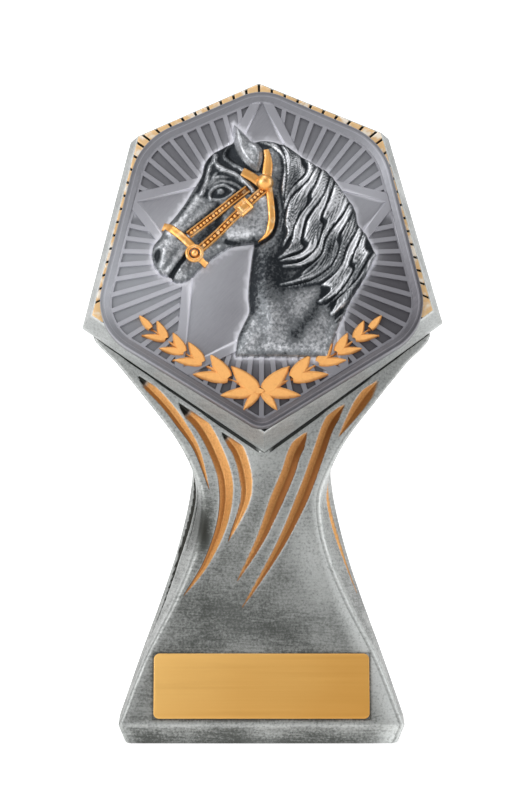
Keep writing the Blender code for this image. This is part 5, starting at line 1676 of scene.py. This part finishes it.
    def build(self) -> Piece:
        """The closed relief with its marks of black wash and painted highlights."""
        self.sculpt()
        net = PlanarNet()
        outline = self.plan.horse_outline(0.0, 0.4 * MM)
        net.add_line(outline, True)
        low, high = outline.min(axis=0), outline.max(axis=0)
        x, y = np.meshgrid(
            np.arange(low[0], high[0], self.grain), np.arange(low[1], high[1], self.grain * 0.87),
        )
        x[1::2] += self.grain / 2
        spots = np.column_stack([x.ravel(), y.ravel()])
        net.add_points(spots[loop_distance(spots, outline) > 0.16 * MM])
        points, faces = net.triangles()
        middle = np.array([points[list(face)].mean(axis=0) for face in faces])
        faces = [face for face, keep in zip(faces, loop_distance(middle, outline) > 0) if keep]
        used = sorted({corner for face in faces for corner in face})
        renumber = {old: new for new, old in enumerate(used)}
        faces = [tuple(renumber[corner] for corner in face) for face in faces]
        points = points[used]
        height = self.surface(points)
        places = self.head.place(points[:, 0], points[:, 1], height, 0)
        back = self.head.place(points[:, 0], points[:, 1], np.full(len(points), self.base - 0.6 * MM), 0)
        loop = outer_loop(faces)
        vertices, faces = close_back(places, faces, back)
        piece = mesh_piece("horse_relief", vertices, faces, 180)
        mark(piece, "patina_and_highlights", np.r_[self.sample("tone", points), np.full(len(loop), 0.9)])
        return piece


@dataclass
class Halter:
    """The gilded halter that lies on the horse's head."""

    head: LeaningHead
    plan: ReliefPlan
    horse: HorseRelief
    straps: tuple[tuple[float, bool, Route], ...] = (
        (2.3, False, ((-27.6, 7.9), (-25.6, 7.0), (-22.4, 4.4), (-19.4, 1.4))),
        (2.3, True, ((-20.4, 4.6), (-12.4, 11.0), (-3.9, 17.9))),
        (2.4, True, ((-16.9, 0.9), (-11.8, 5.6), (-5.2, 12.0), (0.9, 18.0))),
        (2.6, False, ((-5.4, 23.0), (-2.4, 21.4), (0.4, 19.2))),
        (2.7, False, ((1.3, 29.8), (1.8, 26.4), (1.4, 21.0))),
        (2.0, False, ((2.0, 18.6), (2.6, 13.4), (2.8, 8.6), (1.7, 5.0), (-0.9, 2.8))),
        (1.9, False, ((-18.4, -1.0), (-16.8, -2.2), (-15.3, -3.3))),
    )
    # Sections of a strap: share across, rise in millimetres and how dark it is painted: darker in the studded
    # strap's channel, with painted shade down its walls and a little more on one side.
    studded_section: tuple[Triple, ...] = (
        (-1.0, -1.2, 0.6), (-1.0, 0.30, 0.3), (-0.86, 0.55, 0.0), (-0.62, 0.55, 0.0), (-0.5, 0.30, 0.9),
        (0.0, 0.34, 0.8), (0.5, 0.30, 0.9), (0.62, 0.55, 0.0), (0.86, 0.55, 0.0), (1.0, 0.30, 0.3),
        (1.0, -1.2, 0.6),
    )
    plain_section: tuple[Triple, ...] = (
        (-1.0, -1.2, 0.8), (-1.0, 0.20, 0.5), (-0.8, 0.42, 0.1), (-0.4, 0.55, 0.0), (0.0, 0.6, 0.0),
        (0.4, 0.55, 0.0), (0.8, 0.42, 0.2), (1.0, 0.20, 0.6), (1.0, -1.2, 0.8),
    )

    def strap(self, number: int, width: float, studded: bool, route: Route) -> Piece:
        """A crowned band along a route.

        Args:
            number: The strap's number, for its name.
            width: Width in hundredths.
            studded: Whether it has raised borders for a row of studs.
            route: Its centreline in hundredths.

        Returns:
            The strap.
        """
        line = resampled(self.plan.units(smooth_curve(np.array(route), 10)), 0.35 * MM)
        run = np.gradient(line, axis=0)
        across = np.stack([-run[:, 1], run[:, 0]], axis=1) / np.linalg.norm(run, axis=1)[:, None]
        half = self.plan.units(width) / 2
        t = np.linspace(0, 1, len(line))
        tapers = {4: np.minimum(1, 0.6 + 0.8 * t), 5: np.minimum(1, (1.03 - t) * 3.0)}
        taper = tapers.get(number, np.ones(len(line)))
        rings, low_and_shaded = [], []
        base = np.maximum.reduce([self.horse.surface(line + across * half * s) for s in (-0.8, 0, 0.8)])
        base = np.convolve(np.pad(base, 6, mode="edge"), np.ones(13) / 13, mode="valid")
        for s, rise, low in self.studded_section if studded else self.plain_section:
            spot = line + across * (half * s * taper)[:, None]
            rings.append(self.head.place(spot[:, 0], spot[:, 1], base + rise * MM, 0))
            low_and_shaded.append(np.full(len(line), low))
        grid = np.stack(rings, axis=1)
        piece = mesh_piece(f"halter_strap_{number}", grid.reshape(-1, 3), tube_faces(*grid.shape[:2]), 50)
        mark(piece, "low", np.stack(low_and_shaded, axis=1).ravel())
        return piece

    def studs(self, number: int, route: Route, pitch: float, radius: float) -> Piece:
        """A row of round studs down the middle of a strap."""
        line = resampled(self.plan.units(smooth_curve(np.array(route), 10)), pitch)[1:-1]
        base = self.horse.surface(line)
        base = np.convolve(np.pad(base, 2, mode="edge"), np.ones(5) / 5, mode="valid")
        bpy.ops.object.select_all(action="DESELECT")
        bpy.ops.mesh.primitive_ico_sphere_add(subdivisions=2, radius=radius)
        stud = bpy.context.object
        form = np.array([vertex.co for vertex in stud.data.vertices])
        polygons = [tuple(polygon.vertices) for polygon in stud.data.polygons]
        bpy.data.objects.remove(stud, do_unlink=True)
        vertices, faces = [], []
        for (u, v), rise in zip(line, base):
            first = len(vertices)
            out = rise + 0.35 * MM + form[:, 2] * 0.8
            vertices += list(self.head.place(u + form[:, 0], v + form[:, 1], out, 0))
            faces += [tuple(first + corner for corner in polygon) for polygon in polygons]
        piece = mesh_piece(f"halter_studs_{number}", np.array(vertices), faces)
        mark(piece, "low", np.zeros(len(vertices)))
        return piece

    def ring_and_boss(
        self, name: str, centre: Spot, radius: float, tube: float, rise: float, boss: float,
    ) -> Piece:
        """A round ring with a boss in its middle, laid on the horse."""
        spot = self.plan.units(centre)
        top = self.horse.surface(spot[None, :])[0]
        bpy.ops.object.select_all(action="DESELECT")
        bpy.ops.mesh.primitive_torus_add(
            major_radius=radius, minor_radius=tube, major_segments=40, minor_segments=12,
        )
        ring = bpy.context.object
        bpy.ops.object.select_all(action="DESELECT")
        bpy.ops.mesh.primitive_uv_sphere_add(segments=24, ring_count=12, radius=boss)
        ball = bpy.context.object
        bpy.ops.object.select_all(action="DESELECT")
        ring.select_set(True)
        ball.select_set(True)
        bpy.context.view_layer.objects.active = ring
        bpy.ops.object.join()
        form = np.array([vertex.co for vertex in ring.data.vertices])
        places = self.head.place(spot[0] + form[:, 0], spot[1] + form[:, 1], top + rise + form[:, 2], 0)
        ring.data.vertices.foreach_set("co", places.ravel())
        ring.name = ring.data.name = name
        shade(ring, 180)
        # Painted shade on the lower half of the ring and boss.
        mark(ring, "low", np.clip(-form[:, 2] / tube, 0, 1) * 0.6)
        return ring

    def buckle(self) -> Piece:
        """The square buckle on the lower strap."""
        spot = self.plan.units((-5.0, 12.3))
        turn = math.radians(42)
        top = self.horse.surface(spot[None, :])[0]
        bpy.ops.object.select_all(action="DESELECT")
        bpy.ops.mesh.primitive_cube_add(size=1)
        piece = bpy.context.object
        piece.scale = (4.4 * MM, 4.0 * MM, 1.6 * MM)
        bpy.ops.object.transform_apply(location=False, rotation=False, scale=True)
        bpy.ops.object.mode_set(mode="EDIT")
        work = bmesh.from_edit_mesh(piece.data)
        for face in work.faces:
            face.select_set(face.normal.z > 0.9)
        bmesh.update_edit_mesh(piece.data)
        bpy.ops.mesh.inset(thickness=0.8 * MM)
        bpy.ops.transform.translate(value=(0, 0, -0.6 * MM))
        bpy.ops.mesh.inset(thickness=0.35 * MM)
        bpy.ops.transform.translate(value=(0, 0, 0.45 * MM))
        bpy.ops.object.mode_set(mode="OBJECT")
        bevelled(piece, 0.22 * MM, 3)
        form = np.array([vertex.co for vertex in piece.data.vertices])
        u = spot[0] + form[:, 0] * math.cos(turn) - form[:, 1] * math.sin(turn)
        v = spot[1] + form[:, 0] * math.sin(turn) + form[:, 1] * math.cos(turn)
        places = self.head.place(u, v, top + 0.45 * MM + form[:, 2], 0)
        piece.data.vertices.foreach_set("co", places.ravel())
        piece.name = piece.data.name = "halter_buckle"
        shade(piece, 45)
        # Darker the lower it lies: painted shade down its sides, and darker in its recess.
        mark(piece, "low", np.clip(0.5 - form[:, 2] / (1.0 * MM), 0, 1) * 0.7)
        return piece

    def build(self) -> list[Piece]:
        """Every strap, its studs, the ring, the rosette and the buckle."""
        pieces = [self.strap(i, *strap) for i, strap in enumerate(self.straps)]
        pieces.append(self.studs(1, self.straps[1][2], 1.15 * MM, 0.48 * MM))
        pieces.append(self.studs(2, self.straps[2][2], 1.35 * MM, 0.52 * MM))
        for name, centre, radius, tube, rise, boss in (
            ("halter_ring", (-18.7, -0.6), 2.1, 0.62, 0.5, 1.15),
            ("halter_rosette", (0.9, 19.8), 1.9, 0.5, 0.7, 2.5),
        ):
            pieces.append(self.ring_and_boss(name, centre, radius * MM, tube * MM, rise * MM, boss * MM))
        return [*pieces, self.buckle()]


@dataclass
class Laurel:
    """The gilded laurel wreath under the horse."""

    head: LeaningHead
    plan: ReliefPlan
    base: float = 2.25 * MM
    rise: float = 1.25 * MM
    middle: float = -0.3
    clusters: tuple[Route, ...] = (
        ((-8.5, -32.2), (-12.0, -40.9), (-1.5, -39.5)),
        ((-14.4, -28.8), (-19.5, -34.6), (-9.3, -35.9)),
        ((-20.4, -25.3), (-24.9, -30.6), (-16.5, -31.5)),
        ((-24.7, -22.6), (-28.9, -27.2), (-21.6, -28.5)),
        ((-29.2, -19.1), (-33.4, -23.5), (-26.7, -24.6)),
    )
    end_leaf: Route = ((-34.2, -17.6), (-30.8, -21.6))
    tail: Route = ((-5.2, -45.2), (-0.8, -39.4))

    def leaf_form(self, width: float, lift: float = 1.0) -> tuple[Array, Faces]:
        """One flat-topped leaf of length 1 with bevelled edges.

        Args:
            width: Its greatest width as a share of its length.
            lift: Its height as a share of the tallest leaf's.

        Returns:
            Its vertices and faces.
        """
        stations, bevel = 21, 0.07
        vertices, faces = [], []
        for i in range(stations):
            t = (i / (stations - 1)) ** 1.1
            half = max(
                width / 2 * math.sin(math.pi * (0.1 + 0.9 * t) ** 0.66) ** 0.78 if t < 1 else 0.0, 0.003,
            )
            shoulder = max(half - bevel, half * 0.35)
            top = lift * min(1.0, half / (1.3 * bevel))
            for s, rise in (
                (-half, 0.0), (-half, 0.35 * top), (-shoulder, top), (shoulder, top), (half, 0.35 * top),
                (half, 0.0),
            ):
                vertices.append((t, s, rise))
        for i in range(stations - 1):
            faces += [(i * 6 + j, i * 6 + j + 1, i * 6 + j + 7, i * 6 + j + 6) for j in range(5)]
        return np.array(vertices), faces

    def build(self) -> Piece:
        """All leaves, the stems and the tied ends as one gilded piece."""
        upper_form, lower_form = self.leaf_form(0.46), self.leaf_form(0.33, 0.94)
        stem_form = self.leaf_form(0.17, 0.8)
        runs = [
            (base, tip, form)
            for upper, lower, base in self.clusters
            for tip, form in ((upper, upper_form), (lower, lower_form))
        ]
        runs += [
            (self.end_leaf[1], self.end_leaf[0], self.leaf_form(0.42)),
            (self.tail[1], self.tail[0], self.leaf_form(0.36, 0.88)),
        ]
        stem = ((-0.8, -39.4), (-9.3, -35.9), (-16.5, -31.5), (-21.6, -28.5), (-26.7, -24.6), (-30.8, -21.6))
        runs += [(base, tip, stem_form) for base, tip in zip(stem[:-1], stem[1:])]
        vertices, faces, low_and_shaded = [], [], []
        knot = self.plan.units(((self.middle - 1.3, -39.6), (self.middle + 1.3, -39.6)))
        self.add_leaf((vertices, faces, low_and_shaded), self.leaf_form(0.75, 1.12), *knot, 1)
        for side in (1, -1):
            for base, tip, form in runs:
                a, b = (self.plan.units((self.middle + side * (x - self.middle), y)) for x, y in (base, tip))
                self.add_leaf((vertices, faces, low_and_shaded), form, a, b, side)
        piece = mesh_piece("laurel_wreath", np.array(vertices), faces, 180)
        solid = piece.modifiers.new("wall", "SOLIDIFY")
        solid.thickness = 0.5 * MM
        solid.offset = -1
        apply_all(piece)
        shade(piece, 35)
        # The walls and back from the solidify count as fully shaded: painted shade.
        count = len(low_and_shaded)
        values = np.ones(len(piece.data.vertices))
        values[:count] = low_and_shaded
        mark(piece, "low", values)
        return piece

    def add_leaf(
        self, lists: tuple[list, list, list], form: tuple[Array, list], a: Array, b: Array, side: int,
    ) -> None:
        """Add one leaf from its base to its tip.

        Args:
            lists: Vertices, faces and marks of low parts and painted shade to add to.
            form: Vertices and faces of the leaf of length 1.
            a: The base's place.
            b: The tip's place.
            side: 1 for the left half, -1 for the right.
        """
        vertices, faces, low_and_shaded = lists
        run = b - a
        across = np.array([-run[1], run[0]]) * side
        spots = a + form[0][:, :1] * run + form[0][:, 1:2] * across
        rise = form[0][:, 2]
        first = len(vertices)
        vertices += list(self.head.place(spots[:, 0], spots[:, 1], self.base + rise * self.rise, 0))
        # Painted shade: the low bevel edges darken, fully on the lower right and a quarter as much on the
        # upper left, as if lit from the upper left.
        out = (form[0][:, 1:2] * across) @ (0.7, -0.7)
        low_and_shaded += list(np.clip((1 - rise) * np.where(out > 0, 1.0, 0.25), 0, 1))
        faces += [
            tuple(first + corner for corner in (polygon if side > 0 else polygon[::-1]))
            for polygon in form[1]
        ]


# Plate and set


@dataclass
class EngravingPlate:
    """The thin blank plate on the foot's sloping front."""

    body: BodyCasting
    width: float = 61.0 * MM
    height: float = 18.6 * MM
    thickness: float = 0.8 * MM
    corner: float = 1.2 * MM
    proud: float = 0.6 * MM
    clearance: float = 1.7 * MM
    broken_edge: float = 0.18 * MM

    def build(self) -> Piece:
        """Shape the plate from a plane: rounded, given its wall and a broken edge."""
        heights = np.array([self.body.foot_edge, self.body.foot_edge + self.height + self.clearance])
        front = self.body.corners(heights)[0][:, 1]
        low, high = Vector((0, front[0], heights[0])), Vector((0, front[1], heights[1]))
        up = (high - low).normalized()
        across = Vector((1, 0, 0))
        out = across.cross(up)
        middle = low + up * (self.clearance + self.height / 2) + out * (self.proud - self.thickness)
        bpy.ops.object.select_all(action="DESELECT")
        bpy.ops.mesh.primitive_plane_add(size=1)
        piece = bpy.context.object
        piece.scale = (self.width, self.height, 1)
        bpy.ops.object.transform_apply(location=False, rotation=False, scale=True)
        bpy.ops.object.mode_set(mode="EDIT")
        bpy.ops.mesh.select_all(action="SELECT")
        bpy.ops.mesh.bevel(offset=self.corner * 1.3, segments=8, affect="VERTICES")
        bpy.ops.mesh.extrude_region_move(TRANSFORM_OT_translate={"value": (0, 0, self.thickness)})
        bpy.ops.object.mode_set(mode="OBJECT")
        bevelled(piece, self.broken_edge, 3)
        bpy.ops.object.mode_set(mode="EDIT")
        bpy.ops.mesh.select_all(action="SELECT")
        bpy.ops.mesh.normals_make_consistent(inside=False)
        bpy.ops.object.mode_set(mode="OBJECT")
        piece.data.transform(Matrix.Translation(middle) @ Matrix((across, up, out)).transposed().to_4x4())
        piece.name = piece.data.name = "plate_sheet"
        shade(piece, 35)
        return piece


@dataclass(frozen=True)
class StudioSet:
    """Pale floor, soft lights and the camera of the photograph."""

    camera_place: Triple = (0.0007, -0.900, 0.0972)
    focal_pixels: float = 3085.0

    def camera(self) -> None:
        """A level camera in front of the trophy."""
        data = bpy.data.cameras.new("photo_camera")
        data.sensor_width = 36.0
        data.lens = self.focal_pixels * data.sensor_width / max(IMAGE_SIZE)
        data.clip_start = 0.05
        camera = bpy.data.objects.new("photo_camera", data)
        camera.location = self.camera_place
        camera.rotation_euler = (math.pi / 2, 0, 0)
        bpy.context.scene.collection.objects.link(camera)
        bpy.context.scene.camera = camera

    def light(self, name: str, place: Triple, size: Spot, power: float) -> None:
        """A soft rectangular light aimed at the trophy's middle."""
        data = bpy.data.lights.new(name, "AREA")
        data.shape = "RECTANGLE"
        data.size, data.size_y = size
        data.energy = power
        lamp = bpy.data.objects.new(name, data)
        lamp.location = place
        lamp.rotation_euler = (Vector((0, 0, 0.1)) - Vector(place)).to_track_quat("-Z", "Y").to_euler()
        bpy.context.scene.collection.objects.link(lamp)

    def build(self) -> None:
        """Floor, surroundings, lights and camera."""
        for name, place, turn, glow in (
            ("floor", (0, 0, 0), 0, 0.75), ("backdrop", (0, 3, 2.9), math.pi / 2, 1.0),
        ):
            bpy.ops.object.select_all(action="DESELECT")
            bpy.ops.mesh.primitive_plane_add(size=6, location=place, rotation=(turn, 0, 0))
            sheet = bpy.context.object
            sheet.name = name
            board = NodeBoard(f"pale_{name}")
            grain = board.noise(board.mapped((40, 40, 40)), 1.0, 2, 0.5)
            board.shader.inputs["Emission Color"].default_value = (1, 1, 1, 1)
            board.shader.inputs["Emission Strength"].default_value = glow
            pale = board.mix(grain, (0.60, 0.60, 0.60), (0.64, 0.64, 0.64))
            sheet.data.materials.append(board.dress(pale, 0.9, 0.0))
        world = bpy.data.worlds.new("studio")
        world.use_nodes = True
        world.node_tree.nodes["Background"].inputs["Color"].default_value = (1, 1, 1, 1)
        world.node_tree.nodes["Background"].inputs["Strength"].default_value = 0.35
        bpy.context.scene.world = world
        self.light("left_softbox", (-0.70, -0.50, 0.40), (0.5, 0.8), 4.5)
        self.light("right_softbox", (0.80, -0.30, 0.35), (0.4, 0.8), 2.4)
        self.light("top_softbox", (-0.1, -0.25, 0.95), (0.6, 0.4), 2.4)
        self.camera()
        bpy.context.scene.view_settings.view_transform = "Standard"


def main() -> None:
    """Load the frame, build and dress every piece, and report."""
    logging.basicConfig(level=logging.INFO, format="%(name)s: %(message)s")
    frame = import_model()
    LOG.info("frame nodes: %s", sorted(frame["nodes"]))

    head, plan = LeaningHead(), ReliefPlan()
    silver = AntiqueSilver().material("antique_silver_paint")
    head_silver = AntiqueSilver(
        light=(0.47, 0.485, 0.48), wash=(0.24, 0.25, 0.245), streaks=0.35, softness=0.22,
        lean=math.radians(14),
    ).material("antique_silver_frame")
    body = BodyCasting(head)
    casting = body.build()
    finish_piece(casting, silver)
    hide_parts("stand")
    frame_piece = HeadCasting(head)
    finish_piece(frame_piece.build(), head_silver)
    finish_piece(
        GoldBand(head, frame_piece).build(),
        Gilding(
            bright=(0.90, 0.60, 0.30), deep=(0.50, 0.24, 0.08), glint=(1.0, 0.92, 0.80), glints=0.9,
            metallic=0.35,
        ).material("band_gold"),
    )

    plate = InsertPlate(head, plan).build()
    finish_piece(plate, Pewter().material("brushed_pewter"))
    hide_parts("insert")
    horse = HorseRelief(head, plan)
    finish_piece(horse.build(), HorseSilver().material("horse_silver"))
    halter_gold = Gilding(
        bright=(0.84, 0.42, 0.12), deep=(0.20, 0.06, 0.010), glints=0.42, cloud_grain=620.0,
    ).material("halter_gold")
    for piece in Halter(head, plan, horse).build():
        finish_piece(piece, halter_gold)
    wreath_gold = Gilding(
        bright=(0.82, 0.41, 0.125), deep=(0.36, 0.13, 0.03), glints=0.0, metallic=0.2, roughness=0.5,
    ).material("wreath_gold")
    finish_piece(Laurel(head, plan).build(), wreath_gold)

    sheet = EngravingPlate(body).build()
    finish_piece(sheet, PlateGold().material("plate_gold"))
    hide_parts("engraving_plate")

    StudioSet().build()


if __name__ == "__main__":
    main()
